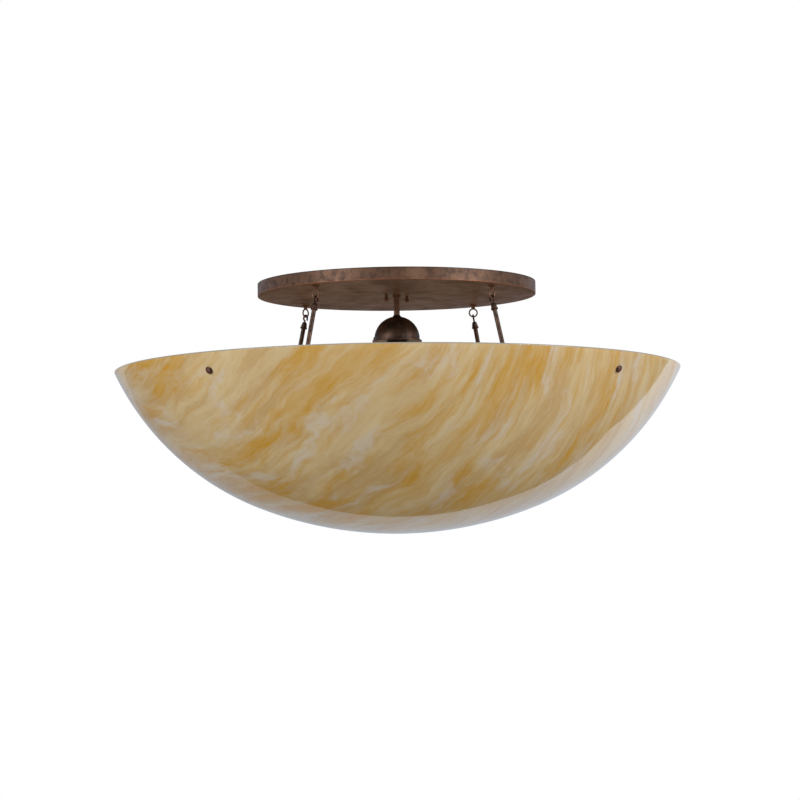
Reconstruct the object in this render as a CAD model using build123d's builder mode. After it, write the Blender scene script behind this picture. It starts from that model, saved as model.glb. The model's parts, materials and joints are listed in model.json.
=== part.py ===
from build123d import *
import os
from math import asin, atan, cos, degrees, radians, sin, sqrt, tan

# Semi flush ceiling light: a wide pan, a lamp cluster on a stem, and an open
# bowl that hangs by four hooks and rods. Millimetres. The origin is the middle
# of the pan on the ceiling, +Z is up and -Y is the front.

# Pan
pan_d = 600
pan_height = 27
band_wall = 2.0
plate_wall = 2.0
plate_gap = 0.1
band_weld = 3.0
seam_width = 0.8
seam_depth = 0.5

# Strap on the ceiling box, and the swivel bar under it, held together by an eyelet
strap_length = 108
strap_width = 19
strap_wall = 2
box_screw_spacing = 88.9
box_slot_length = 14
box_slot_width = 5
bar_length = 66
bar_width = 16
bar_wall = 2
bar_turn = 22.5
eyelet_d = 12
eyelet_bore_d = 10.3
eyelet_flange_d = 15
eyelet_flange = 1
ground_screw_place = 14
ground_screw_d = 4
ground_head_d = 8.6
ground_head_height = 2.8

# Studs from the swivel bar through the pan, and their locknuts
stud_spacing = 50
stud_d = 4.2
stud_hole_gap = 0.5
stud_in_ball_nut = 9
stud_nut_across = 8.7
stud_nut_height = 3.2

# Ball nuts under the pan
ball_nut_d = 9.6
ball_nut_gap = 0.3
ball_neck_d = 6.8
ball_neck_height = 6
ball_bore_gap = 0.2

# Hanging loops, their collars and locknuts
hanger_count = 4
hanger_start = 45
hanger_inset = 37
hanger_twists = (40, 0, 0, 0)
loop_wire_d = 3.2
loop_mean_radius = 8.7
loop_shank_d = 6
loop_shank_above = 8
loop_neck_top_d = 9.6
loop_neck_low_d = 6.6
loop_neck_height = 7
loop_eye_drop = 7
loop_collar_d = 15.5
loop_collar_height = 3
loop_nut_across = 10
loop_nut_height = 5

# Hooks that hang in the loops
hook_wire_d = 3.8
hook_eye_radius = 3.2
hook_gap = 0.3
hook_throat = 2.3
hook_bend_radius = 4
hook_tip_straight = 1
hook_tip_radius = 5
hook_tip_angle = 50
hook_in_coupler = 5

# Bell couplers and rods
rod_lean = 15.1
rod_d = 9.5
rod_in_coupler = 7
rod_above_arm = 2.5
coupler_drop = 11.5
coupler_height = 15.5
coupler_top_d = 7.4
coupler_skirt_d = 12.8
coupler_bead_d = 15.4
coupler_bead_height = 4.5
rod_nut_across = 14
rod_nut_height = 5

# Bowl
bowl_d = 1220
bowl_depth = 350
bowl_wall = 6
bowl_rim_drop = 190.5
bowl_crown_radius = 808
bowl_crown_angle = 21.6
bowl_rim_round = 1.8

# Knobs with their studs, and the grommets in the bowl's four holes
knob_drop = 35.5
knob_gap = 0.3
knob_rim_d = 16
knob_rim_height = 2.4
knob_rim_chamfer = 0.8
knob_face_d = 11.5
knob_face_height = 1.6
knob_face_chamfer = 0.8
knob_stud_d = 6
knob_stud_gap = 0.25
knob_stud_past = 3
grommet_d = 10
grommet_flange_d = 20
grommet_flange = 2
grommet_gap = 0.2

# Frame inside the bowl
arm_width = 20
arm_wall = 5
arm_drop = 238
arm_bend_radius = 12
arm_past_knob = 14
arm_mitre_gap = 0.3
boss_d = 16
boss_height = 20
tab_nut_across = 11
tab_nut_height = 5
hub_d = 92
hub_wall = 5
hub_bolt_radius = 32
hub_bolt_d = 6
hub_bolt_across = 10
hub_bolt_head = 4
hub_nut_height = 5
hub_bolt_past = 1.5

# Stem
stem_d = 12.7
stem_bore_d = 8.5
stem_thread_d = 11
stem_above_plate = 9
stem_in_body = 14
stem_collar_d = 17.5
stem_collar_height = 4.5
stem_nut_across = 17
stem_nut_height = 4.5

# Dome over the lamp cluster, its washer and its thumbscrews
dome_base_drop = 124
dome_d = 98
dome_skirt = 3
dome_wall = 1.5
dome_hole_gap = 0.2
washer_top_d = 15
washer_foot_d = 18
washer_height = 3
thumb_count = 3
thumb_start = -90
thumb_above_plate = 5.3
thumb_head_d = 10
thumb_head_height = 6
thumb_chamfer = 0.8
thumb_gap = 0.3
thumb_screw_d = 4
thumb_screw_gap = 0.2
thumb_past_ring = 2

# Lamp cluster
flange_d = 107
flange_wall = 3
ring_gap = 0.5
ring_wall = 3
ring_height = 8
body_d = 44
body_height = 34
body_chamfer = 3
lamp_boss_d = 18
lamp_boss_reach = 36
lamp_axis_drop = 9
finial_d = 20
finial_height = 14
finial_tip_d = 8
finial_stud_d = 6
finial_stud = 8

# Lampholders, and the lamps in them
lamp_count = 4
lamp_tilt = 30
holder_neck_d = 26
holder_neck = 10
holder_d = 40
holder_barrel = 36
holder_wall = 4
holder_floor = 2
shell_d = 28.6
shell_wall = 0.6
shell_length = 24
shell_hole_d = 12
contact_d = 8
contact_height = 2.4
lamp_gap = 0.3
lamp_tip_d = 9
lamp_tip = 3
lamp_base_d = 26.4
lamp_base = 22
lamp_neck_d = 27.5
lamp_neck = 8
lamp_glass_d = 60
lamp_glass = 80

os.makedirs("parts", exist_ok=True)

# Heights and radii that several pieces share
plate_low = -pan_height
plate_top = plate_low + plate_wall
hanger_radius = pan_d / 2 - hanger_inset
pan_inner_r = pan_d / 2 - band_wall
loop_collar_low = plate_low - loop_collar_height
loop_middle = loop_collar_low - loop_eye_drop - loop_mean_radius + loop_wire_d / 2
loop_foot = loop_middle - loop_mean_radius
rim_z = -bowl_rim_drop
flange_top = -dome_base_drop
flange_low = flange_top - flange_wall
body_low = flange_low - body_height
arm_top = -arm_drop
hanger_turns = [hanger_start + 360 / hanger_count * step for step in range(hanger_count)]
lamp_turns = [360 / lamp_count * step for step in range(lamp_count)]
stud_turns = [bar_turn + 180, bar_turn]


# Places. Each is a plane at a point that lies radius out and height up in the
# upright plane that faces turn degrees.
def leaning_plane(turn, radius, height, lean=0, twist=0):
    """Plane whose y is up, leaning inward by lean, and whose x is outward, twisted about y."""
    out = Vector(cos(radians(turn)), sin(radians(turn)), 0)
    up = Vector(0, 0, 1)
    across = out.cross(up)
    leaning_out = out * cos(radians(lean)) + up * sin(radians(lean))
    x_dir = leaning_out * cos(radians(twist)) - across * sin(radians(twist))
    normal = leaning_out * sin(radians(twist)) + across * cos(radians(twist))
    return Plane(out * radius + up * height, x_dir=x_dir, z_dir=normal)


def along_plane(plane, distance):
    """Plane square to another plane's y, this distance along it, facing the same way as y."""
    return Plane(plane.from_local_coords(Vector(0, distance, 0)), x_dir=plane.x_dir, z_dir=plane.y_dir)


def rod_plane(turn, twist=0):
    """Origin at the foot of a hanging loop's eye, y up along the rod."""
    return leaning_plane(turn, hanger_radius, loop_foot, rod_lean, twist)


def lamp_plane(turn):
    """Origin on the stem's axis, y outward along the lamp."""
    return leaning_plane(turn, 0, flange_low - lamp_axis_drop, -90 - lamp_tilt)


def turn_profile(plane):
    """Revolve the pending profile about the plane's y."""
    revolve(axis=Axis(plane.origin, plane.y_dir))


def hexagon_nut(plane, across, height, bore):
    """Hexagon nut that stands up from a plane."""
    with BuildPart() as nut:
        with BuildSketch(plane):
            RegularPolygon(across / 2, 6, major_radius=False)
            Circle(bore / 2, mode=Mode.SUBTRACT)
        extrude(amount=height)
    return nut.part


def export_group(pieces, name):
    """Write separate solids as one node."""
    group = Compound(label=name, children=pieces)
    export_step(group, f"parts/{name}.step")


# Pan plate
with BuildPart() as canopy_plate:
    with BuildSketch(Plane.XY.offset(plate_low)):
        Circle(pan_inner_r - plate_gap)
        Circle(stem_thread_d / 2, mode=Mode.SUBTRACT)
        with PolarLocations(hanger_radius, hanger_count, start_angle=hanger_start):
            Circle(loop_shank_d / 2, mode=Mode.SUBTRACT)
        with PolarLocations(stud_spacing / 2, 2, start_angle=bar_turn):
            Circle(stud_d / 2 + stud_hole_gap, mode=Mode.SUBTRACT)
    extrude(amount=plate_wall)
canopy_plate.part.label = "canopy_plate"
export_step(canopy_plate.part, "parts/canopy_plate.step")

# Pan band: one strip rolled to a ring, with its seam at the front and a weld inside on the plate
with BuildPart() as canopy_band:
    with BuildSketch(Plane.XZ):
        with BuildLine():
            Polyline(
                (pan_d / 2, 0),
                (pan_d / 2, plate_low),
                (pan_inner_r, plate_low),
                (pan_inner_r, plate_top),
                (pan_inner_r - band_weld, plate_top),
                (pan_inner_r, plate_top + band_weld),
                (pan_inner_r, 0),
                close=True,
            )
        make_face()
    revolve(axis=Axis.Z)
    with Locations((0, -pan_d / 2, plate_low / 2)):
        Box(seam_width, 2 * seam_depth, pan_height, mode=Mode.SUBTRACT)
canopy_band.part.label = "canopy_band"
export_step(canopy_band.part, "parts/canopy_band.step")

# Strap on the ceiling box, with a slot for each of the box's screws
with BuildPart() as mounting_strap:
    with BuildSketch(Plane.XY.offset(-strap_wall)):
        SlotOverall(strap_length, strap_width)
        Circle(eyelet_d / 2, mode=Mode.SUBTRACT)
        with GridLocations(box_screw_spacing, 0, 2, 1):
            SlotOverall(box_slot_length, box_slot_width, mode=Mode.SUBTRACT)
    extrude(amount=strap_wall)
mounting_strap.part.label = "mounting_strap"
export_step(mounting_strap.part, "parts/mounting_strap.step")

# Swivel bar, turned to the pan's two studs
bar_low = -strap_wall - bar_wall
with BuildPart() as swivel_bar:
    with BuildSketch(Plane.XY.offset(bar_low).rotated((0, 0, bar_turn))):
        SlotOverall(bar_length, bar_width)
        Circle(eyelet_d / 2, mode=Mode.SUBTRACT)
        with GridLocations(stud_spacing, 0, 2, 1):
            Circle(stud_d / 2, mode=Mode.SUBTRACT)
        with Locations((ground_screw_place, 0)):
            Circle(ground_screw_d / 2, mode=Mode.SUBTRACT)
    extrude(amount=bar_wall)
swivel_bar.part.label = "swivel_bar"
export_step(swivel_bar.part, "parts/swivel_bar.step")

# Eyelet through strap and bar, open for the supply wires
with BuildPart() as bar_eyelet:
    with BuildSketch(Plane.XY.offset(bar_low)):
        Circle(eyelet_d / 2)
    extrude(amount=-bar_low)
    with BuildSketch(Plane.XY.offset(bar_low)):
        Circle(eyelet_flange_d / 2)
    extrude(amount=-eyelet_flange)
    with BuildSketch(Plane.XY):
        Circle(eyelet_bore_d / 2)
    extrude(amount=bar_low - eyelet_flange, mode=Mode.SUBTRACT)
bar_eyelet.part.label = "bar_eyelet"
export_step(bar_eyelet.part, "parts/bar_eyelet.step")

# Ground screw in the swivel bar
ground_plane = leaning_plane(bar_turn, ground_screw_place, bar_low)
with BuildPart() as ground_screw:
    with BuildSketch(along_plane(ground_plane, -ground_head_height)):
        RegularPolygon(ground_head_d / 2, 6)
    extrude(amount=ground_head_height)
    with BuildSketch(along_plane(ground_plane, 0)):
        Circle(ground_screw_d / 2)
    extrude(amount=bar_wall)
ground_screw.part.label = "ground_screw"
export_step(ground_screw.part, "parts/ground_screw.step")

# Studs from the swivel bar down through the pan, and their locknuts under the bar
stud_low = plate_low - ball_nut_gap - stud_in_ball_nut
studs = []
stud_nuts = []
for turn in stud_turns:
    with BuildPart() as stud:
        with BuildSketch(along_plane(leaning_plane(turn, stud_spacing / 2, stud_low), 0)):
            Circle(stud_d / 2)
        extrude(amount=bar_low + bar_wall - stud_low)
    studs.append(stud.part)
    nut_plane = leaning_plane(turn, stud_spacing / 2, bar_low - stud_nut_height)
    stud_nuts.append(hexagon_nut(along_plane(nut_plane, 0), stud_nut_across, stud_nut_height, stud_d))
export_group(studs, "canopy_studs")
export_group(stud_nuts, "stud_locknuts")

# Ball nuts
ball_top = plate_low - ball_nut_gap
ball_neck_low = ball_top - ball_neck_height
ball_drop = sqrt((ball_nut_d / 2) ** 2 - (ball_neck_d / 2) ** 2)
ball_low = ball_neck_low - ball_drop - ball_nut_d / 2
for side, turn in zip(("left", "right"), stud_turns):
    ball_plane = leaning_plane(turn, stud_spacing / 2, 0)
    with BuildPart() as ball_nut:
        with BuildSketch(ball_plane):
            with BuildLine():
                Line((0, ball_low), (0, ball_top))
                Line((0, ball_top), (ball_neck_d / 2, ball_top))
                Line((ball_neck_d / 2, ball_top), (ball_neck_d / 2, ball_neck_low))
                ThreePointArc(
                    (ball_neck_d / 2, ball_neck_low),
                    (ball_nut_d / 2, ball_neck_low - ball_drop),
                    (0, ball_low),
                )
            make_face()
        turn_profile(ball_plane)
        with BuildSketch(along_plane(ball_plane, stud_low - ball_bore_gap)):
            Circle(stud_d / 2 + ball_bore_gap)
        extrude(amount=ball_top - stud_low + ball_bore_gap, mode=Mode.SUBTRACT)
    ball_nut.part.label = f"ball_nut_{side}"
    export_step(ball_nut.part, f"parts/ball_nut_{side}.step")

# Hanging loops, with a collar under the plate and a locknut above it
loop_taper = degrees(atan((loop_neck_top_d - loop_neck_low_d) / 2 / loop_neck_height))
loops = []
loop_collars = []
loop_nuts = []
for turn, twist in zip(hanger_turns, hanger_twists):
    loop_plane = leaning_plane(turn, hanger_radius, loop_collar_low, 0, twist)
    with BuildPart() as loop:
        with Locations(leaning_plane(turn, hanger_radius, loop_middle, 0, twist)):
            Torus(loop_mean_radius, loop_wire_d / 2, rotation=(0, 90, 0))
        with BuildSketch(along_plane(loop_plane, 0)):
            Circle(loop_neck_top_d / 2)
        extrude(amount=-loop_neck_height, taper=loop_taper)
        with BuildSketch(along_plane(loop_plane, 0)):
            Circle(loop_shank_d / 2)
        extrude(amount=loop_collar_height + plate_wall + loop_shank_above)
    loops.append(loop.part)
    with BuildPart() as loop_collar:
        with BuildSketch(along_plane(loop_plane, 0)):
            Circle(loop_collar_d / 2)
            Circle(loop_shank_d / 2, mode=Mode.SUBTRACT)
        extrude(amount=loop_collar_height)
    loop_collars.append(loop_collar.part)
    nut_plane = along_plane(loop_plane, loop_collar_height + plate_wall)
    loop_nuts.append(hexagon_nut(nut_plane, loop_nut_across, loop_nut_height, loop_shank_d))
export_group(loops, "hanging_loops")
export_group(loop_collars, "loop_collars")
export_group(loop_nuts, "loop_locknuts")

# Hooks: a crown over the loop's wire, an open tip inward, and a shank that bends back to the rod's axis
hook_line_radius = hook_eye_radius + hook_wire_d / 2
crown_y = -(hook_eye_radius - loop_wire_d / 2 - hook_gap)
throat_y = crown_y - hook_throat
half_shift = hook_line_radius / 2
bend_rise = sqrt(hook_bend_radius**2 - (hook_bend_radius - half_shift) ** 2)
shank_low = -coupler_drop - hook_in_coupler
hooks = []
for turn, twist in zip(hanger_turns, hanger_twists):
    hook_plane = rod_plane(turn, twist)
    with BuildPart() as hook:
        with BuildLine(hook_plane):
            Line((0, shank_low), (0, throat_y - 2 * bend_rise))
            RadiusArc((0, throat_y - 2 * bend_rise), (half_shift, throat_y - bend_rise), hook_bend_radius)
            RadiusArc((half_shift, throat_y - bend_rise), (hook_line_radius, throat_y), -hook_bend_radius)
            Line((hook_line_radius, throat_y), (hook_line_radius, crown_y))
            CenterArc((0, crown_y), hook_line_radius, 0, 180)
            tip = Line((-hook_line_radius, crown_y), (-hook_line_radius, crown_y - hook_tip_straight))
            JernArc(tip @ 1, tip % 1, hook_tip_radius, -hook_tip_angle)
        with BuildSketch(along_plane(hook_plane, shank_low)):
            Circle(hook_wire_d / 2)
        sweep()
    hooks.append(hook.part)
export_group(hooks, "rod_hooks")

# Bell couplers from hook to rod
coupler_top = -coupler_drop
coupler_low = coupler_top - coupler_height
bead_top = coupler_low + coupler_bead_height
bead_step = coupler_bead_height / 3
couplers = []
for turn in hanger_turns:
    coupler_plane = rod_plane(turn)
    with BuildPart() as coupler:
        with BuildSketch(coupler_plane):
            with BuildLine():
                Line((0, coupler_low), (0, coupler_top))
                Line((0, coupler_top), (coupler_top_d / 2, coupler_top))
                Bezier(
                    (coupler_top_d / 2, coupler_top),
                    (coupler_skirt_d / 2, (coupler_top + bead_top) / 2),
                    (coupler_skirt_d / 2, bead_top),
                )
                Polyline(
                    (coupler_skirt_d / 2, bead_top),
                    (coupler_bead_d / 2, bead_top - bead_step),
                    (coupler_bead_d / 2, coupler_low + bead_step),
                    (coupler_skirt_d / 2, coupler_low),
                    (0, coupler_low),
                )
            make_face()
        turn_profile(coupler_plane)
        with BuildSketch(along_plane(coupler_plane, coupler_low)):
            Circle(rod_d / 2)
        extrude(amount=rod_in_coupler, mode=Mode.SUBTRACT)
        with BuildSketch(along_plane(coupler_plane, coupler_top - hook_in_coupler)):
            Circle(hook_wire_d / 2)
        extrude(amount=hook_in_coupler, mode=Mode.SUBTRACT)
    couplers.append(coupler.part)
export_group(couplers, "rod_couplers")

# Rods, and the jam nuts on their bosses
arm_y = (arm_top - loop_foot) / cos(radians(rod_lean))
rod_low = arm_y + rod_above_arm
rod_top = coupler_low + rod_in_coupler
boss_top = arm_y + boss_height
rod_nuts = []
for number, turn in enumerate(hanger_turns, 1):
    with BuildPart() as rod:
        with BuildSketch(along_plane(rod_plane(turn), rod_low)):
            Circle(rod_d / 2)
        extrude(amount=rod_top - rod_low)
    rod.part.label = f"rod_{number}"
    export_step(rod.part, f"parts/rod_{number}.step")
    rod_nut_plane = along_plane(rod_plane(turn), boss_top)
    rod_nuts.append(hexagon_nut(rod_nut_plane, rod_nut_across, rod_nut_height, rod_d))
export_group(rod_nuts, "rod_jam_nuts")

# Bowl wall: a wide crown arc, then a tighter shoulder arc that runs on to the rim
crown_angle = radians(bowl_crown_angle)
crown_z = rim_z - bowl_depth + bowl_crown_radius
joint_r = bowl_crown_radius * sin(crown_angle)
joint_z = crown_z - bowl_crown_radius * cos(crown_angle)
to_rim_r = bowl_d / 2 - joint_r
to_rim_z = rim_z - joint_z
shoulder_radius = (to_rim_r**2 + to_rim_z**2) / (
    2 * (to_rim_z * cos(crown_angle) - to_rim_r * sin(crown_angle))
)
shoulder_r = joint_r - shoulder_radius * sin(crown_angle)
shoulder_z = joint_z + shoulder_radius * cos(crown_angle)


def shoulder_at(height, depth):
    """Radius of the shoulder at a height, depth millimetres inside the bowl's outside."""
    return shoulder_r + sqrt((shoulder_radius - depth) ** 2 - (height - shoulder_z) ** 2)


def wall_arcs(depth):
    """The bowl's crown and shoulder as two arcs, depth millimetres inside its outside."""
    crown = bowl_crown_radius - depth
    middle = crown_angle / 2
    joint = (crown * sin(crown_angle), crown_z - crown * cos(crown_angle))
    half_z = (joint[1] + rim_z) / 2
    ThreePointArc((0, crown_z - crown), (crown * sin(middle), crown_z - crown * cos(middle)), joint)
    ThreePointArc(joint, (shoulder_at(half_z, depth), half_z), (shoulder_at(rim_z, depth), rim_z))


knob_z = rim_z - knob_drop
knob_r = shoulder_at(knob_z, 0)
knob_tilt = degrees(asin((shoulder_z - knob_z) / shoulder_radius))


def knob_plane(turn):
    """Origin on the bowl's outside at a knob, y straight out of the wall."""
    return leaning_plane(turn, knob_r, knob_z, -90 - knob_tilt)


with BuildPart() as shade_bowl:
    with BuildSketch(Plane.XZ):
        with BuildLine():
            wall_arcs(0)
            wall_arcs(bowl_wall)
            Line((shoulder_at(rim_z, 0), rim_z), (shoulder_at(rim_z, bowl_wall), rim_z))
            Line((0, crown_z - bowl_crown_radius), (0, crown_z - bowl_crown_radius + bowl_wall))
        make_face()
    revolve(axis=Axis.Z)
    rim_edges = shade_bowl.edges().filter_by(GeomType.CIRCLE).group_by(Axis.Z)[-1]
    fillet(rim_edges, bowl_rim_round)
    for turn in hanger_turns:
        with BuildSketch(along_plane(knob_plane(turn), -2 * bowl_wall)):
            Circle(grommet_d / 2)
        extrude(amount=3 * bowl_wall, mode=Mode.SUBTRACT)
shade_bowl.part.label = "shade_bowl"
export_step(shade_bowl.part, "parts/shade_bowl.step")

# Grommets: a sleeve in the wall and a soft flange between the wall and the frame
grommet_seat = -bowl_wall - grommet_gap
tab_face = grommet_seat - grommet_flange
grommets = []
for turn in hanger_turns:
    with BuildPart() as grommet:
        with BuildSketch(along_plane(knob_plane(turn), tab_face)):
            Circle(grommet_flange_d / 2)
        extrude(amount=grommet_flange)
        with BuildSketch(along_plane(knob_plane(turn), grommet_seat)):
            Circle(grommet_d / 2)
        extrude(amount=-grommet_seat - grommet_gap)
        with BuildSketch(along_plane(knob_plane(turn), tab_face)):
            Circle(knob_stud_d / 2 + knob_stud_gap)
        extrude(amount=-tab_face, mode=Mode.SUBTRACT)
    grommets.append(grommet.part)
export_group(grommets, "bowl_grommets")

# Knobs
tab_nut_low = tab_face - arm_wall - tab_nut_height
knob_low = knob_gap
knob_step = knob_low + knob_rim_height
knob_top = knob_step + knob_face_height
for number, turn in enumerate(hanger_turns, 1):
    with BuildPart() as knob:
        with BuildSketch(knob_plane(turn)):
            with BuildLine():
                Polyline(
                    (0, tab_nut_low - knob_stud_past),
                    (knob_stud_d / 2, tab_nut_low - knob_stud_past),
                    (knob_stud_d / 2, knob_low),
                    (knob_rim_d / 2, knob_low),
                    (knob_rim_d / 2, knob_step - knob_rim_chamfer),
                    (knob_rim_d / 2 - knob_rim_chamfer, knob_step),
                    (knob_face_d / 2, knob_step),
                    (knob_face_d / 2, knob_top - knob_face_chamfer),
                    (knob_face_d / 2 - knob_face_chamfer, knob_top),
                    (0, knob_top),
                    close=True,
                )
            make_face()
        turn_profile(knob_plane(turn))
    knob.part.label = f"knob_{number}"
    export_step(knob.part, f"parts/knob_{number}.step")

# Frame arms: flat bar, mitred at the middle and bent up along the bowl, each with the boss for its rod
# and the welded nut for its knob
tab_middle = tab_face - arm_wall / 2
tab_r = knob_r + tab_middle * cos(radians(knob_tilt))
tab_z = knob_z - tab_middle * sin(radians(knob_tilt))
arm_middle = arm_top - arm_wall / 2
bend_r = tab_r - (tab_z - arm_middle) * tan(radians(knob_tilt))
tab_end = (tab_r + arm_past_knob * sin(radians(knob_tilt)), tab_z + arm_past_knob * cos(radians(knob_tilt)))
mitre = arm_width / 2 / tan(radians(180 / hanger_count))
for number, turn in enumerate(hanger_turns, 1):
    arm_plane = leaning_plane(turn, 0, 0)
    with BuildPart() as frame_arm:
        with BuildSketch(along_plane(rod_plane(turn), boss_top)):
            Circle(boss_d / 2)
        extrude(amount=-boss_height - boss_d)
        split(bisect_by=Plane.XY.offset(arm_top), keep=Keep.TOP)
        with BuildSketch(along_plane(rod_plane(turn), rod_low)):
            Circle(rod_d / 2)
        extrude(amount=boss_height, mode=Mode.SUBTRACT)
        with BuildSketch(arm_plane):
            with BuildLine():
                FilletPolyline((0, arm_middle), (bend_r, arm_middle), tab_end, radius=arm_bend_radius)
                offset(amount=arm_wall / 2, side=Side.BOTH, kind=Kind.INTERSECTION)
            make_face()
        extrude(amount=arm_width / 2, both=True)
        with BuildSketch(along_plane(arm_plane, rim_z - bowl_depth)):
            Polygon(
                (arm_mitre_gap, 0),
                (arm_mitre_gap + mitre, -arm_width / 2),
                (bowl_d, -arm_width / 2),
                (bowl_d, arm_width / 2),
                (arm_mitre_gap + mitre, arm_width / 2),
                align=None,
            )
        extrude(amount=bowl_depth, mode=Mode.INTERSECT)
        with BuildSketch(along_plane(knob_plane(turn), tab_nut_low)):
            RegularPolygon(tab_nut_across / 2, 6, major_radius=False)
        extrude(amount=tab_nut_height)
        with BuildSketch(along_plane(knob_plane(turn), tab_nut_low)):
            Circle(knob_stud_d / 2 + knob_stud_gap)
        extrude(amount=tab_nut_height + arm_wall, mode=Mode.SUBTRACT)
        with BuildSketch(along_plane(leaning_plane(turn, hub_bolt_radius, arm_top), 0)):
            Circle(hub_bolt_d / 2)
        extrude(amount=-arm_wall, mode=Mode.SUBTRACT)
    frame_arm.part.label = f"frame_arm_{number}"
    export_step(frame_arm.part, f"parts/frame_arm_{number}.step")

# Hub plate under the arms
hub_top = arm_top - arm_wall
with BuildPart() as frame_hub:
    with BuildSketch(Plane.XY.offset(hub_top)):
        Circle(hub_d / 2)
        with PolarLocations(hub_bolt_radius, hanger_count, start_angle=hanger_start):
            Circle(hub_bolt_d / 2, mode=Mode.SUBTRACT)
    extrude(amount=-hub_wall)
frame_hub.part.label = "frame_hub"
export_step(frame_hub.part, "parts/frame_hub.step")

# Hub bolts and nuts
hub_bolts = []
for turn in hanger_turns:
    bolt_plane = leaning_plane(turn, hub_bolt_radius, arm_top)
    nut_low = -arm_wall - hub_wall - hub_nut_height
    with BuildPart() as hub_bolt:
        with BuildSketch(along_plane(bolt_plane, 0)):
            RegularPolygon(hub_bolt_across / 2, 6, major_radius=False)
        extrude(amount=hub_bolt_head)
        with BuildSketch(along_plane(bolt_plane, nut_low - hub_bolt_past)):
            Circle(hub_bolt_d / 2)
        extrude(amount=hub_bolt_past - nut_low)
    hub_bolts.append(hub_bolt.part)
    hub_nut_plane = along_plane(bolt_plane, nut_low)
    hub_bolts.append(hexagon_nut(hub_nut_plane, hub_bolt_across, hub_nut_height, hub_bolt_d))
export_group(hub_bolts, "hub_bolts")

# Stem: a tube with a thinner thread through the pan, its collar under the plate and its nut above it
stem_low = flange_low - stem_in_body
collar_low = plate_low - stem_collar_height
with BuildPart() as stem_tube:
    with BuildSketch(Plane.XY.offset(stem_low)):
        Circle(stem_d / 2)
        Circle(stem_bore_d / 2, mode=Mode.SUBTRACT)
    extrude(amount=collar_low - stem_low)
    with BuildSketch(Plane.XY.offset(collar_low)):
        Circle(stem_thread_d / 2)
        Circle(stem_bore_d / 2, mode=Mode.SUBTRACT)
    extrude(amount=plate_top + stem_above_plate - collar_low)
stem_tube.part.label = "stem_tube"
export_step(stem_tube.part, "parts/stem_tube.step")

with BuildPart() as stem_collar:
    with BuildSketch(Plane.XY.offset(collar_low)):
        Circle(stem_collar_d / 2)
        Circle(stem_thread_d / 2, mode=Mode.SUBTRACT)
    extrude(amount=stem_collar_height)
stem_collar.part.label = "stem_collar"
export_step(stem_collar.part, "parts/stem_collar.step")

stem_locknut = hexagon_nut(Plane.XY.offset(plate_top), stem_nut_across, stem_nut_height, stem_thread_d)
stem_locknut.label = "stem_locknut"
export_step(stem_locknut, "parts/stem_locknut.step")

# Dome: half a ball on a short skirt, open below, with the thumbscrews' holes
dome_r = dome_d / 2
dome_inner_r = dome_r - dome_wall
dome_hole_r = stem_d / 2 + dome_hole_gap
dome_middle = flange_top + dome_skirt
thumb_z = flange_top + thumb_above_plate
thumb_turns = [thumb_start + 360 / thumb_count * step for step in range(thumb_count)]
with BuildPart() as socket_dome:
    with BuildSketch(Plane.XZ):
        with BuildLine():
            for radius in (dome_r, dome_inner_r):
                dome_hole_z = dome_middle + sqrt(radius**2 - dome_hole_r**2)
                half_way = radius * sqrt(0.5)
                Line((radius, flange_top), (radius, dome_middle))
                ThreePointArc(
                    (radius, dome_middle),
                    (half_way, dome_middle + half_way),
                    (dome_hole_r, dome_hole_z),
                )
            Line((dome_inner_r, flange_top), (dome_r, flange_top))
            Line((dome_hole_r, dome_hole_z), (dome_hole_r, dome_middle + sqrt(dome_r**2 - dome_hole_r**2)))
        make_face()
    revolve(axis=Axis.Z)
    for turn in thumb_turns:
        with BuildSketch(along_plane(leaning_plane(turn, dome_r + thumb_gap, thumb_z, -90), 0)):
            Circle(thumb_screw_d / 2 + thumb_screw_gap)
        extrude(amount=-dome_wall - 2 * thumb_gap, mode=Mode.SUBTRACT)
socket_dome.part.label = "socket_dome"
export_step(socket_dome.part, "parts/socket_dome.step")

# Washer between the stem and the dome's top
washer_low = dome_middle + sqrt(dome_r**2 - dome_hole_r**2)
with BuildPart() as dome_washer:
    with BuildSketch(Plane.XZ):
        with BuildLine():
            Polyline(
                (stem_d / 2, washer_low),
                (washer_foot_d / 2, washer_low),
                (washer_top_d / 2, washer_low + washer_height),
                (stem_d / 2, washer_low + washer_height),
                close=True,
            )
        make_face()
    revolve(axis=Axis.Z)
dome_washer.part.label = "dome_washer"
export_step(dome_washer.part, "parts/dome_washer.step")

# Cluster plate: the flange that shows under the dome, with a ring inside the dome's skirt
ring_r = dome_inner_r - ring_gap
with BuildPart() as cluster_plate:
    with BuildSketch(Plane.XY.offset(flange_low)):
        Circle(flange_d / 2)
        Circle(stem_d / 2, mode=Mode.SUBTRACT)
    extrude(amount=flange_wall)
    with BuildSketch(Plane.XY.offset(flange_top)):
        Circle(ring_r)
        Circle(ring_r - ring_wall, mode=Mode.SUBTRACT)
    extrude(amount=ring_height)
    for turn in thumb_turns:
        with BuildSketch(along_plane(leaning_plane(turn, ring_r + ring_gap, thumb_z, -90), 0)):
            Circle(thumb_screw_d / 2 + thumb_screw_gap)
        extrude(amount=-ring_wall - 2 * ring_gap, mode=Mode.SUBTRACT)
cluster_plate.part.label = "cluster_plate"
export_step(cluster_plate.part, "parts/cluster_plate.step")

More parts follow.
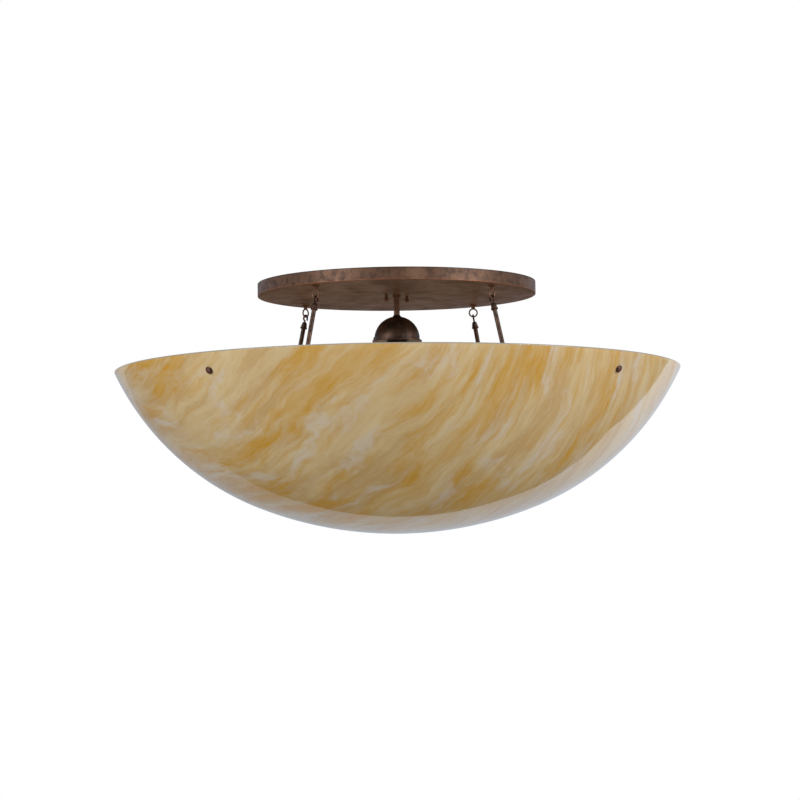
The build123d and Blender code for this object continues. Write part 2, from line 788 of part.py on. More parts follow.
# Thumbscrews that hold the dome
for number, turn in enumerate(thumb_turns, 1):
    thumb_plane = leaning_plane(turn, dome_r + thumb_gap, thumb_z, -90)
    thumb_tip = -thumb_gap - dome_wall - ring_gap - ring_wall - thumb_past_ring
    with BuildPart() as thumbscrew:
        with BuildSketch(thumb_plane):
            with BuildLine():
                Polyline(
                    (0, thumb_tip),
                    (thumb_screw_d / 2, thumb_tip),
                    (thumb_screw_d / 2, 0),
                    (thumb_head_d / 2 - thumb_chamfer, 0),
                    (thumb_head_d / 2, thumb_chamfer),
                    (thumb_head_d / 2, thumb_head_height - thumb_chamfer),
                    (thumb_head_d / 2 - thumb_chamfer, thumb_head_height),
                    (0, thumb_head_height),
                    close=True,
                )
            make_face()
        turn_profile(thumb_plane)
    thumbscrew.part.label = f"dome_thumbscrew_{number}"
    export_step(thumbscrew.part, f"parts/dome_thumbscrew_{number}.step")

# Cluster body with a boss for each lampholder
with BuildPart() as cluster_body:
    with BuildSketch(Plane.XY.offset(body_low)):
        Circle(body_d / 2)
    extrude(amount=body_height)
    chamfer(cluster_body.edges().group_by(Axis.Z)[0], body_chamfer)
    for turn in lamp_turns:
        with BuildSketch(along_plane(lamp_plane(turn), 0)):
            Circle(lamp_boss_d / 2)
        extrude(amount=lamp_boss_reach)
    with BuildSketch(Plane.XY.offset(stem_low)):
        Circle(stem_d / 2)
    extrude(amount=stem_in_body, mode=Mode.SUBTRACT)
    with BuildSketch(Plane.XY.offset(body_low)):
        Circle(finial_stud_d / 2)
    extrude(amount=finial_stud, mode=Mode.SUBTRACT)
cluster_body.part.label = "cluster_body"
export_step(cluster_body.part, "parts/cluster_body.step")

with BuildPart() as cluster_finial:
    with BuildSketch(Plane.XZ):
        with BuildLine():
            Line((0, body_low + finial_stud), (finial_stud_d / 2, body_low + finial_stud))
            Line((finial_stud_d / 2, body_low + finial_stud), (finial_stud_d / 2, body_low))
            Line((finial_stud_d / 2, body_low), (finial_d / 2, body_low))
            Bezier(
                (finial_d / 2, body_low),
                (finial_d / 2, body_low - finial_height / 2),
                (finial_tip_d / 2, body_low - finial_height / 2),
                (finial_tip_d / 2, body_low - finial_height),
            )
            Line((finial_tip_d / 2, body_low - finial_height), (0, body_low - finial_height))
            Line((0, body_low - finial_height), (0, body_low + finial_stud))
        make_face()
    revolve(axis=Axis.Z)
cluster_finial.part.label = "cluster_finial"
export_step(cluster_finial.part, "parts/cluster_finial.step")

# Lampholders with their screw shells and contacts, and the lamps, all along each lamp's axis
holder_mouth = lamp_boss_reach + holder_neck + holder_barrel
cavity_floor = lamp_boss_reach + holder_neck + holder_floor
contact_top = cavity_floor + contact_height
tip_low = contact_top + lamp_gap
base_low = tip_low + lamp_tip
glass_low = base_low + lamp_base
glass_middle = glass_low + lamp_glass - lamp_glass_d / 2
shells = []
for number, turn in enumerate(lamp_turns, 1):
    lamp = lamp_plane(turn)
    with BuildPart() as lampholder:
        with BuildSketch(lamp):
            with BuildLine():
                Polyline(
                    (0, lamp_boss_reach),
                    (holder_neck_d / 2, lamp_boss_reach),
                    (holder_neck_d / 2, lamp_boss_reach + holder_neck / 2),
                    (holder_d / 2, lamp_boss_reach + holder_neck),
                    (holder_d / 2, holder_mouth),
                    (holder_d / 2 - holder_wall, holder_mouth),
                    (holder_d / 2 - holder_wall, cavity_floor),
                    (0, cavity_floor),
                    close=True,
                )
            make_face()
        turn_profile(lamp)
    lampholder.part.label = f"lampholder_{number}"
    export_step(lampholder.part, f"parts/lampholder_{number}.step")

    with BuildPart() as shell:
        with BuildSketch(along_plane(lamp, cavity_floor)):
            Circle(shell_d / 2)
            Circle(shell_hole_d / 2, mode=Mode.SUBTRACT)
        extrude(amount=shell_wall)
        with BuildSketch(along_plane(lamp, cavity_floor + shell_wall)):
            Circle(shell_d / 2)
            Circle(shell_d / 2 - shell_wall, mode=Mode.SUBTRACT)
        extrude(amount=shell_length - shell_wall)
    with BuildPart() as contact:
        with BuildSketch(along_plane(lamp, cavity_floor)):
            Circle(contact_d / 2)
        extrude(amount=contact_height)
    shells.append(shell.part)
    shells.append(contact.part)

    with BuildPart() as lamp_cap:
        with BuildSketch(along_plane(lamp, base_low)):
            Circle(lamp_base_d / 2)
        extrude(amount=lamp_base)
        with BuildSketch(along_plane(lamp, tip_low)):
            Circle(lamp_tip_d / 2)
        extrude(amount=lamp_tip)
    lamp_cap.part.label = f"bulb_base_{number}"
    export_step(lamp_cap.part, f"parts/bulb_base_{number}.step")

    with BuildPart() as lamp_bulb:
        with BuildSketch(lamp):
            with BuildLine():
                neck_top = (lamp_neck_d / 2, glass_low + lamp_neck)
                Line((0, glass_low), (lamp_neck_d / 2, glass_low))
                Line((lamp_neck_d / 2, glass_low), neck_top)
                Bezier(
                    neck_top,
                    (lamp_neck_d / 2, glass_middle - lamp_glass_d / 2),
                    (lamp_glass_d / 2, glass_middle - lamp_glass_d / 3),
                    (lamp_glass_d / 2, glass_middle),
                )
                ThreePointArc(
                    (lamp_glass_d / 2, glass_middle),
                    (lamp_glass_d / 2 * sqrt(0.5), glass_middle + lamp_glass_d / 2 * sqrt(0.5)),
                    (0, glass_low + lamp_glass),
                )
                Line((0, glass_low + lamp_glass), (0, glass_low))
            make_face()
        turn_profile(lamp)
    lamp_bulb.part.label = f"bulb_glass_{number}"
    export_step(lamp_bulb.part, f"parts/bulb_glass_{number}.step")
export_group(shells, "lampholder_shells")
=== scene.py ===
"""Looks of a semi flush ceiling light: a swirled acrylic bowl on iron rods under a brown pan."""

import json
from math import acos, asin, atan2, cos, hypot, pi, radians, sin, sqrt

import bmesh
import bpy
from mathutils import Color, Matrix, Quaternion, Vector

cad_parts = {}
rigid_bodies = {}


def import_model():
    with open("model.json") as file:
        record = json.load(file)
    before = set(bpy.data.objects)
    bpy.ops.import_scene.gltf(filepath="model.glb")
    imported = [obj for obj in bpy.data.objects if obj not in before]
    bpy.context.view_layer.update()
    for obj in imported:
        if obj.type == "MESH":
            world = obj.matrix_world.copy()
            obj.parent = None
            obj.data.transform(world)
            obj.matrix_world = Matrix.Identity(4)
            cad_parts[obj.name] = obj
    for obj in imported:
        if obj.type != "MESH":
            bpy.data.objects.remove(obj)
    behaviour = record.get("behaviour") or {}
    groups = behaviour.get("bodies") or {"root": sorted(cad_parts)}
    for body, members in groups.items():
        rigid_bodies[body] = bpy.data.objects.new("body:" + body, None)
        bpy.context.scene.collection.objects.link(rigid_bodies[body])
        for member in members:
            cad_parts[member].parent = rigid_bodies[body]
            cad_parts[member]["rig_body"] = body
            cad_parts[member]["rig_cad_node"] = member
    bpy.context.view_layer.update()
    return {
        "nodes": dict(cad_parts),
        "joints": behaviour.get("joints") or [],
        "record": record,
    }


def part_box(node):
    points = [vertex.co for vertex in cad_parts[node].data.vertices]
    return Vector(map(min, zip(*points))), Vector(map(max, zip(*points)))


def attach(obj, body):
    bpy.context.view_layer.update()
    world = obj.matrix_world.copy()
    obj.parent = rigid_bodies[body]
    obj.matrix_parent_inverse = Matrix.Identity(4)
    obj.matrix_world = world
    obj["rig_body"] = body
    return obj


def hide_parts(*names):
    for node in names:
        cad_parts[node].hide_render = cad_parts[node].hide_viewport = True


bl_info = {
    "name": "Semi Flush Ceiling Light",
    "version": (1, 0, 0),
    "blender": (4, 5, 0),
    "location": "3D View > Sidebar > Ceiling Light",
    "description": "Models and finishes a ceiling light with a wide swirled bowl",
    "category": "Add Mesh",
}

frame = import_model()
BOWL_LOW, BOWL_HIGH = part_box("shade_bowl")
BAND_LOW, BAND_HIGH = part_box("canopy_band")
PLATE_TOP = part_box("canopy_plate")[1].z
DOME_LOW, DOME_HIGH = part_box("socket_dome")
STEM_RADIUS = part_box("stem_tube")[1].x
WASHER_LOW, WASHER_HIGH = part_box("dome_washer")
SLOTS = {part["node"]: part["material_slot"] for part in frame["record"]["subparts"]}

WIDE_STEPS = 256  # steps round the bowl, the band and its bead
GRIP_STEPS = 56  # steps round a thumbscrew, two for each notch of its grip
WELD_RIPPLES = 620.0  # ripples round the weld bead
ROUNDED_TURN = radians(28)  # edges that turn by more than this are rounded
FLAT_TURN = radians(0.8)  # faces that turn by less than this become one
MERGED = 0.000005  # vertices nearer than this, in metres, become one
COLUMN_WIDTH, ROW_HEIGHT, SHADER_COLUMN = 200, 180, 15  # layout of the node trees

# Stage, in metres
BACKDROP_CORNERS = [(-3.2, 3.3, -2.69), (3.6, 3.3, -2.69), (-3.2, 3.3, -0.95), (3.6, 3.3, 0.5)]
SOFTBOX_SIZE = (3.0, 2.0)
SOFTBOX_PLACE = (4.4, -3.2, 1.5)  # of the right one, and the left one mirrors it
SOFTBOX_AIM = (0, 0, -0.3)

# Layers of the swirl: length and width of a streak in metres, how far it wanders, its place in the
# noise, the noise at which its mask starts and is full, and its detail
STREAK_SOCKETS = ("Length", "Width", "Wander", "Offset", "Low", "High", "Detail")
STREAKS = {
    "fields": (0.36, 0.11, 0.12, 27.0, 0.4, 0.6, 5.0),
    "pale": (0.22, 0.026, 0.09, 2.2, 0.46, 0.64, 6.0),
    "fibres": (0.13, 0.0055, 0.05, 7.7, 0.32, 0.7, 4.0),
    "clouds": (0.17, 0.07, 0.25, 39.1, 0.51, 0.64, 7.0),
    "warm": (0.26, 0.052, 0.16, 47.3, 0.45, 0.64, 6.0),
    "wisps": (0.15, 0.014, 0.1, 1.7, 0.5, 0.7, 6.0),
}

# Coats: strength of the bumps, size of a patch and of the grain in metres, roughness, share of the
# light tone and depth of the grain
COAT_TONES = ("Base", "Dark", "Light")
COAT_SOCKETS = ("Patch Size", "Grain Size", "Roughness", "Light Share", "Grain Depth")
COATS = {
    "patina band": (0.3, 0.014, 0.0016, 0.42, 0.35, 0.2),
    "patina plate": (0.12, 0.05, 0.0022, 0.5, 0.35, 0.06),
    "weld bead": (0.3, 0.01, 0.001, 0.45, 0.3, 0.12),
    "forged iron": (0.5, 0.011, 0.0012, 0.42, 0.6, 0.12),
    "rubbed copper": (0.4, 0.008, 0.0012, 0.42, 0.5, 0.12),
    "knob rim": (0.3, 0.004, 0.0006, 0.4, 0.4, 0.12),
    "knob button": (0.3, 0.003, 0.0005, 0.4, 0.3, 0.12),
    "dark bronze": (0.3, 0.024, 0.0014, 0.42, 0.55, 0.12),
    "glazed porcelain": (0.06, 0.02, 0.002, 0.16, 0.3, 0.12),
    "frosted glass": (0.05, 0.03, 0.001, 0.28, 0.2, 0.02),
    "nickel cap": (0.1, 0.008, 0.0006, 0.28, 0.3, 0.12),
    "black glass": (0.1, 0.006, 0.0005, 0.15, 0.3, 0.12),
    "brass shell": (0.12, 0.008, 0.0006, 0.3, 0.3, 0.12),
    "frame brown": (0.3, 0.03, 0.0016, 0.42, 0.35, 0.12),
    "zinc plate": (0.15, 0.01, 0.0008, 0.32, 0.3, 0.12),
    "green paint": (0.1, 0.006, 0.0006, 0.3, 0.3, 0.12),
    "grommet rubber": (0.3, 0.004, 0.0005, 0.75, 0.3, 0.12),
}


# Settings


def length(name, words, value):
    """A size in metres that the user can change."""
    return bpy.props.FloatProperty(
        name=name, description=words, default=value, min=0, unit="LENGTH", precision=4
    )


def angle(name, words, degrees):
    """An angle that the user can change."""
    return bpy.props.FloatProperty(
        name=name, description=words, default=radians(degrees), subtype="ANGLE"
    )


def paint(name, words, *levels):
    """A colour that the user can change, given as red, green and blue levels up to 255."""
    color = [level / 255 for level in levels]
    return bpy.props.FloatVectorProperty(
        name=name, description=words, default=color, size=3, min=0, max=1, subtype="COLOR_GAMMA"
    )


def share(name, words, value, most=1.0):
    """A plain number that the user can change."""
    return bpy.props.FloatProperty(name=name, description=words, default=value, min=0, max=most)


class BowlSettings(bpy.types.PropertyGroup):
    """Shape and swirl of the bowl."""

    crown_radius: length("Crown Radius", "Radius of the shallow arc at the bottom", 0.808)
    crown_angle: angle("Crown Angle", "How far the shallow arc runs up from the bottom", 21.6)
    wall: length("Wall", "Thickness of the acrylic", 0.006)
    rim_round: length("Rim Rounding", "Polished rounding of the rim's two edges", 0.0018)
    hole: length("Hole", "Radius of the hole behind each knob", 0.005)
    streak_turn: angle("Streak Direction", "Turn of the swirl in the sheet's right half", -60)
    streak_bend: angle("Streak Bend", "How much the swirl turns for each metre to the left", 34)
    tan: paint("Tan", "Main colour of the swirl", 186, 153, 103)
    honey: paint("Honey", "Colour of the warm streaks", 190, 139, 28)
    cream: paint("Cream", "Colour of the pale streaks", 208, 187, 146)
    milk: paint("Milk", "Colour of the cloudy white patches", 200, 190, 178)
    # The rim colour is painted shade: a darker grey over the rim's rounding, which catches light
    rim: paint("Rim", "Colour of the acrylic's cut edge", 140, 133, 121)
    gloss: share("Gloss Roughness", "Roughness of the polished face", 0.05)


class PanSettings(bpy.types.PropertyGroup):
    """Pan of plate and rolled band."""

    wall: length("Band Wall", "Thickness of the rolled band", 0.002)
    edge: length("Edge Rounding", "Rounding of the band's two edges", 0.0006)
    bead: length("Weld Bead", "Radius of the bead between band and plate", 0.0021)
    brown: paint("Brown", "Main colour of the pan", 96, 70, 54)
    umber_and_edge_shade: paint("Umber", "Dark patches of the pan", 74, 54, 43)
    copper: paint("Copper", "Rubbed patches of the pan", 122, 86, 62)
    # The umber is also painted as shade along the band's upper edge, next to the plate
    rust: paint("Rust", "Line along the band's lower edge", 138, 84, 52)
    ground_weld: paint("Ground Weld", "Pale patch where the band's seam is ground", 128, 98, 76)


class FittingSettings(bpy.types.PropertyGroup):
    """Loops, hooks, couplers, rods, knobs and the frame under the lamps."""

    hanger_start: angle("First Hanger", "Turn of the first rod", 45)
    hanger_radius: length("Hanger Radius", "From the middle to each hanging loop", 0.263)
    loop_foot: length("Loop Foot", "Depth of the lowest point of each loop", 0.0528)
    lean: angle("Rod Lean", "Outward lean of each rod", 15.1)
    coupler_drop: length("Coupler Drop", "From a loop's foot to its coupler", 0.0115)
    coupler_height: length("Coupler Height", "Length of each coupler", 0.0155)
    coupler_top: length("Coupler Top", "Diameter of a coupler's top", 0.0074)
    coupler_skirt: length("Coupler Skirt", "Diameter of a coupler above its bead", 0.0128)
    coupler_bead: length("Coupler Bead", "Diameter of a coupler's bead", 0.0154)
    knob: length("Knob", "Diameter of each knob", 0.016)
    knob_button: length("Knob Button", "Diameter of the raised middle of a knob", 0.0115)
    knob_height: length("Knob Height", "From the bowl to the top of a knob", 0.0043)
    knob_stud: length("Knob Stud", "Diameter of a knob's stud", 0.006)
    knob_reach: length("Knob Reach", "Length of a knob's stud inside the bowl", 0.0212)
    iron: paint("Iron", "Main colour of the rods and hooks", 74, 51, 37)
    # Copper is partly a rubbed copper tone and partly painted light: made lighter for parts in the
    # shade of the bowl and the pan
    copper: paint("Copper", "Rubbed stem, loops, collars and ball nuts", 138, 99, 76)
    iron_dark: paint("Iron Dark", "Dark patches of the rods and hooks", 48, 32, 24)
    iron_light: paint("Iron Light", "Rubbed patches of the rods and hooks", 104, 76, 60)
    # The button colour is a painted highlight on the knob's rounded middle
    button: paint("Button", "Rubbed middle of the knobs", 112, 72, 60)
    zinc: paint("Zinc", "Plated nuts, studs and bars", 176, 178, 176)
    ground: paint("Ground Green", "Paint of the ground screw", 38, 120, 60)
    rubber: paint("Rubber", "Grommets in the bowl's holes", 34, 33, 32)


class DomeSettings(bpy.types.PropertyGroup):
    """Stem, dome and thumbscrews."""

    skirt: length("Skirt", "Straight part of the dome's foot", 0.003)
    wall: length("Wall", "Thickness of the dome", 0.0015)
    hole_gap: length("Hole Gap", "Room round the stem in the dome's top", 0.0002)
    edge: length("Edge Rounding", "Rounding of turned edges", 0.0005)
    screw_hole: length("Screw Hole", "Radius of the thumbscrews' holes", 0.0022)
    head: length("Head", "Diameter of a thumbscrew's head", 0.010)
    head_height: length("Head Height", "Height of a thumbscrew's head", 0.006)
    screw: length("Screw", "Diameter of a thumbscrew's thread", 0.004)
    screw_reach: length("Screw Reach", "Length of a thumbscrew's thread", 0.0073)
    bronze: paint("Bronze", "Main colour of the dome and the cluster", 74, 52, 39)
    bronze_dark: paint("Bronze Dark", "Dark patches of the dome", 42, 31, 25)
    bronze_light: paint("Bronze Light", "Rubbed patches of the dome", 104, 78, 62)


class LampSettings(bpy.types.PropertyGroup):
    """Lamps and lampholders. Places are distances along a lamp's axis from where the axes meet."""

    holder_foot: length("Holder Foot", "Start of the lampholder", 0.036)
    holder_neck: length("Holder Neck", "Length of the lampholder's neck", 0.010)
    holder_barrel: length("Holder Barrel", "Length of the lampholder's barrel", 0.036)
    holder_neck_diameter: length("Neck Diameter", "Lampholder where it meets its boss", 0.026)
    holder_diameter: length("Holder Diameter", "Lampholder at its barrel", 0.040)
    holder_wall: length("Holder Wall", "Thickness of the porcelain", 0.004)
    holder_floor: length("Holder Floor", "Thickness under the contact", 0.002)
    cap_start: length("Cap Start", "Tip of the lamp's contact", 0.0507)
    tip_height: length("Tip Height", "Height of the contact's tip", 0.003)
    tip_diameter: length("Tip Diameter", "Width of the contact's tip", 0.009)
    cap_height: length("Cap Height", "Length of the screw cap", 0.022)
    cap_diameter: length("Cap Diameter", "Crests of the screw cap", 0.0264)
    pitch: length("Thread Pitch", "Rise of one turn of the thread", 0.0036)
    thread_depth: length("Thread Depth", "From crest to root", 0.0007)
    neck_diameter: length("Glass Neck", "Glass where it enters the cap", 0.0275)
    neck_height: length("Neck Height", "Straight part of the glass", 0.008)
    glass_diameter: length("Glass Diameter", "Widest part of the glass", 0.060)
    glass_height: length("Glass Height", "From cap to crown", 0.080)
    porcelain: paint("Porcelain", "Glaze of the lampholders", 226, 222, 212)
    frosted: paint("Frosted Glass", "Coat inside the glass", 226, 225, 220)
    nickel: paint("Nickel", "Screw caps of the lamps", 196, 196, 192)
    insulator: paint("Insulator", "Black glass round the contact", 24, 22, 24)
    brass: paint("Brass", "Screw shells in the lampholders", 206, 168, 92)


class StageSettings(bpy.types.PropertyGroup):
    """Camera, light and floor."""

    distance: length("Camera Distance", "From the middle of the light, level", 7.5)
    drop: length("Camera Drop", "Depth of the camera below the ceiling", 0.882)
    bearing: angle("Camera Bearing", "Turn of the camera to the left of the front", 4.9)
    pitch: angle("Camera Pitch", "Tilt of the camera upwards", 4.794)
    roll: angle("Camera Roll", "Lean of the camera", 0.65)
    lens: share("Lens", "Focal length in millimetres on a 36 mm sensor", 157.2, 400)
    shift: share("Shift", "Sideways shift of the frame", 0.00275)
    floor_drop: length("Floor Drop", "Depth of the floor below the ceiling", 2.7)
    floor: paint("Floor", "Colour of the floor", 200, 200, 198)
    floor_gloss: paint("Floor in Gloss", "Colour of the floor in reflections", 70, 68, 64)
    sky: share("Room Light", "Strength of the even light", 0.65, 10)
    sky_gloss: share("Room in Gloss", "Strength of the room in reflections", 0.55, 10)
    backdrop: share("Backdrop Left", "Strength of the backdrop's left end in reflections", 0.12, 10)
    backdrop_right: share("Backdrop Right", "Strength of its right end in reflections", 1.15, 10)
    daylight: paint("Daylight", "Colour of the room and the backdrop in reflections", 222, 236, 255)
    left: share("Left Light", "Power of the left lamp in watts", 164, 2000)
    right: share("Right Light", "Power of the right lamp in watts", 200, 2000)


# Nodes and materials


def node(tree, kind, sockets=None, **settings):
    """A node with its settings and the values or links of its sockets, right of what feeds it."""
    made = tree.nodes.new(kind)
    for name, value in settings.items():
        setattr(made, name, value)
    column = 0
    for name, value in (sockets or {}).items():
        if isinstance(value, bpy.types.NodeSocket):
            tree.links.new(value, made.inputs[name])
            column = max(column, value.node.location.x + COLUMN_WIDTH)
        else:
            made.inputs[name].default_value = value
    above = sum(other != made and other.location.x == column for other in tree.nodes)
    made.location = (column, -ROW_HEIGHT * above)
    return made


def maths(tree, operation, *values, kind="ShaderNodeMath"):
    """A math node, as its result."""
    return node(tree, kind, dict(enumerate(values)), operation=operation).outputs[0]


def vector_maths(tree, operation, *values):
    """A vector math node, as its result."""
    return maths(tree, operation, *values, kind="ShaderNodeVectorMath")


def scaled_vector(tree, vector, scale):
    """A vector times a number, as its result."""
    sockets = {0: vector, "Scale": scale}
    return node(tree, "ShaderNodeVectorMath", sockets, operation="SCALE").outputs[0]


def split(tree, vector, axis):
    """One coordinate of a vector."""
    return node(tree, "ShaderNodeSeparateXYZ", {0: vector}).outputs[axis]


def ramped(tree, value, low, high, start=0.0, end=1.0, soft=False):
    """A value brought from one range to another, as its result."""
    sockets = {"Value": value, "From Min": low, "From Max": high, "To Min": start, "To Max": end}
    kind = "SMOOTHSTEP" if soft else "LINEAR"
    return node(tree, "ShaderNodeMapRange", sockets, interpolation_type=kind).outputs[0]


def noise(tree, vector, scale, detail=3.0, roughness=0.55, distortion=0.0):
    """A noise texture."""
    names = ("Vector", "Scale", "Detail", "Roughness", "Distortion")
    sockets = dict(zip(names, (vector, scale, detail, roughness, distortion)))
    return node(tree, "ShaderNodeTexNoise", sockets)


def blended(tree, weight, under, over):
    """One colour laid over another, as its result."""
    sockets = {0: weight, 6: under, 7: over}
    return node(tree, "ShaderNodeMix", sockets, data_type="RGBA").outputs[2]


def laid_over(tree, color, *layers):
    """A colour under several others, each given as its mask, its colour and its strength."""
    for mask, over, strength in layers:
        color = blended(tree, maths(tree, "MULTIPLY", mask, strength), color, over)
    return color


def mixed(tree, weight, first, second):
    """One shader mixed with another, as its result."""
    return node(tree, "ShaderNodeMixShader", {0: weight, 1: first, 2: second}).outputs[0]


def linear(color, level=1.0):
    """A colour setting as the shader needs it, with its alpha, made darker or lighter."""
    return (*(level * part for part in Color(color).from_srgb_to_scene_linear()), 1.0)


def tones(color, dark=0.7, light=1.25):
    """Main, dark and light tones of one colour."""
    return linear(color), linear(color, dark), linear(color, light)


def three_tones(main, dark, light, levels=(1.0, 1.0, 1.0)):
    """Main, dark and light tones from three colours, each made darker or lighter by its level."""
    return [linear(color, level) for color, level in zip((main, dark, light), levels)]


def new_group(name, colors, numbers, outputs):
    """A shader group that takes a vector, colours and numbers, with its inputs and output node."""
    tree = bpy.data.node_groups.new(name, "ShaderNodeTree")
    for kind, sockets in (("Vector", ["Vector"]), ("Color", colors), ("Float", numbers)):
        for socket in sockets:
            tree.interface.new_socket(socket, in_out="INPUT", socket_type=f"NodeSocket{kind}")
    for socket in outputs:
        kind = "Color" if socket == "Color" else "Float"
        tree.interface.new_socket(socket, in_out="OUTPUT", socket_type=f"NodeSocket{kind}")
    given = tree.nodes.new("NodeGroupInput")
    given.location = (-COLUMN_WIDTH, 0)
    return tree, given.outputs, tree.nodes.new("NodeGroupOutput")


def put_out(tree, out, **links):
    """Links the group's results to its output node, which goes to the right of the others."""
    out.location = (max(each.location.x for each in tree.nodes) + COLUMN_WIDTH, 0)
    for name, socket in links.items():
        tree.links.new(socket, out.inputs[name])


def drawn_streaks():
    """Soft noise drawn out along X, as in a poured sheet. The mask rises from Low to High."""
    tree, given, out = new_group("drawn streaks", [], STREAK_SOCKETS, ["Mask"])
    bend = noise(tree, given["Vector"], scale=2.8, detail=6.0).outputs["Color"]
    centred = vector_maths(tree, "SUBTRACT", bend, (0.5, 0.5, 0.5))
    wander = scaled_vector(tree, centred, given["Wander"])
    moved = vector_maths(tree, "ADD", given["Vector"], wander)
    sizes = node(tree, "ShaderNodeCombineXYZ", {0: given["Length"], 1: given["Width"], 2: 1.0})
    drawn = vector_maths(tree, "DIVIDE", moved, sizes.outputs[0])
    layer = node(tree, "ShaderNodeCombineXYZ", {2: given["Offset"]})
    placed = vector_maths(tree, "ADD", drawn, layer.outputs[0])
    cloud = noise(tree, placed, 1.0, given["Detail"], roughness=0.64, distortion=0.3).outputs["Fac"]
    put_out(tree, out, Mask=ramped(tree, cloud, given["Low"], given["High"], soft=True))
    return tree


def mottled_coat():
    """Three tones in soft patches with a fine grain, as on a brown patina, plating or glaze."""
    outputs = ["Color", "Roughness", "Height"]
    tree, given, out = new_group("mottled coat", COAT_TONES, COAT_SOCKETS, outputs)
    patch_scale = maths(tree, "DIVIDE", 1.0, given["Patch Size"])
    grain_scale = maths(tree, "DIVIDE", 1.0, given["Grain Size"])
    patches = noise(tree, given["Vector"], patch_scale, detail=5.0, roughness=0.62).outputs["Fac"]
    grain = noise(tree, given["Vector"], grain_scale, detail=3.0, roughness=0.7).outputs["Fac"]
    dark = ramped(tree, patches, 0.36, 0.52, start=1.0, end=0.0)
    rubbed = maths(tree, "MULTIPLY", ramped(tree, patches, 0.5, 0.7), given["Light Share"])
    shaded = blended(tree, dark, given["Base"], given["Dark"])
    lightened = blended(tree, rubbed, shaded, given["Light"])
    least = maths(tree, "SUBTRACT", 1.0, given["Grain Depth"])
    most = maths(tree, "ADD", 1.0, given["Grain Depth"])
    color = scaled_vector(tree, lightened, ramped(tree, grain, 0.3, 0.7, least, most))
    polish = ramped(tree, patches, 0.35, 0.7, start=0.07, end=-0.07)
    roughness = maths(tree, "ADD", given["Roughness"], polish)
    put_out(tree, out, Color=color, Roughness=roughness, Height=grain)
    return tree


def group(name, make):
    """The shader group of that name, built the first time it is asked for."""
    return bpy.data.node_groups.get(name) or make()


def tree_and_shader(made):
    """A material's node tree and its shader."""
    return made.node_tree, made.node_tree.nodes["Principled BSDF"]


def new_material(name, **values):
    """A material with plain values on its shader, which stands well to the right."""
    made = bpy.data.materials.new(name)
    made.use_nodes = True
    tree, shader = tree_and_shader(made)
    shader.location = (SHADER_COLUMN * COLUMN_WIDTH, 0)
    tree.nodes["Material Output"].location = ((SHADER_COLUMN + 2) * COLUMN_WIDTH, 0)
    for socket, value in values.items():
        shader.inputs[socket.replace("_", " ")].default_value = value
    return made


def coordinates(tree, kind="Object"):
    """Texture coordinates."""
    return node(tree, "ShaderNodeTexCoord").outputs[kind]


def add_relief(tree, shader, height, strength, distance):
    """Small bumps on a shader, from a height that changes over the surface."""
    sockets = {"Strength": strength, "Distance": distance, "Height": height}
    tree.links.new(node(tree, "ShaderNodeBump", sockets).outputs["Normal"], shader.inputs["Normal"])


def coated(name, colors, **values):
    """A metal, paint or glaze in the mottled coat, from its main, dark and light tones."""
    made = new_material(name, **values)
    tree, shader = tree_and_shader(made)
    bump, *numbers = COATS[name]
    sockets = dict(zip(COAT_SOCKETS, numbers), Vector=coordinates(tree))
    sockets.update(zip(COAT_TONES, colors))
    mottle = group("mottled coat", mottled_coat)
    coat = node(tree, "ShaderNodeGroup", sockets, node_tree=mottle).outputs
    tree.links.new(coat["Color"], shader.inputs["Base Color"])
    tree.links.new(coat["Roughness"], shader.inputs["Roughness"])
    add_relief(tree, shader, coat["Height"], bump, distance=sockets["Grain Size"] * 0.2)
    return made


def swirled_acrylic(bowl):
    """Swirled amber and white acrylic: streaks drawn along one way of the sheet, with cloudy white
    between. The streaks bend round in the sheet's left half, and the top of the rim is painted
    darker grey as painted shade on its rounding."""
    made = new_material("swirled acrylic", IOR=1.49, Roughness=bowl.gloss)
    tree, shader = tree_and_shader(made)
    sheet, place = coordinates(tree, "UV"), coordinates(tree)
    left = maths(tree, "MINIMUM", split(tree, sheet, "X"), 0.0)
    turn = maths(tree, "MULTIPLY_ADD", left, -bowl.streak_bend, -bowl.streak_turn)
    sockets = {"Vector": sheet, "Angle": turn}
    sheet = node(tree, "ShaderNodeVectorRotate", sockets, rotation_type="Z_AXIS").outputs[0]
    masks = {}
    for name, values in STREAKS.items():
        sockets = dict(zip(STREAK_SOCKETS, values), Vector=sheet)
        streaks = group("drawn streaks", drawn_streaks)
        masks[name] = node(tree, "ShaderNodeGroup", sockets, node_tree=streaks).outputs["Mask"]
    outside_fields = maths(tree, "MULTIPLY_ADD", masks["fields"], -0.5, 1.0)
    gathered = maths(tree, "MULTIPLY", masks["warm"], outside_fields)
    # Painted shade: the top of the rim turns darker grey
    edge = ramped(tree, split(tree, place, "Z"), BOWL_HIGH.z - bowl.rim_round, BOWL_HIGH.z)
    color = laid_over(
        tree,
        linear(bowl.tan),
        (masks["fields"], linear(bowl.cream), 0.6),
        (masks["pale"], linear(bowl.cream), 0.55),
        (masks["clouds"], linear(bowl.milk), 0.6),
        (gathered, linear(bowl.honey), 1.0),
        (masks["wisps"], linear(bowl.honey), 0.45),
        (masks["fibres"], linear(bowl.cream), 0.2),
        (edge, linear(bowl.rim), 0.9),
    )
    tree.links.new(color, shader.inputs["Base Color"])
    ripple = noise(tree, place, scale=7.0, detail=1.0).outputs["Fac"]
    add_relief(tree, shader, ripple, strength=0.05, distance=0.004)
    return made


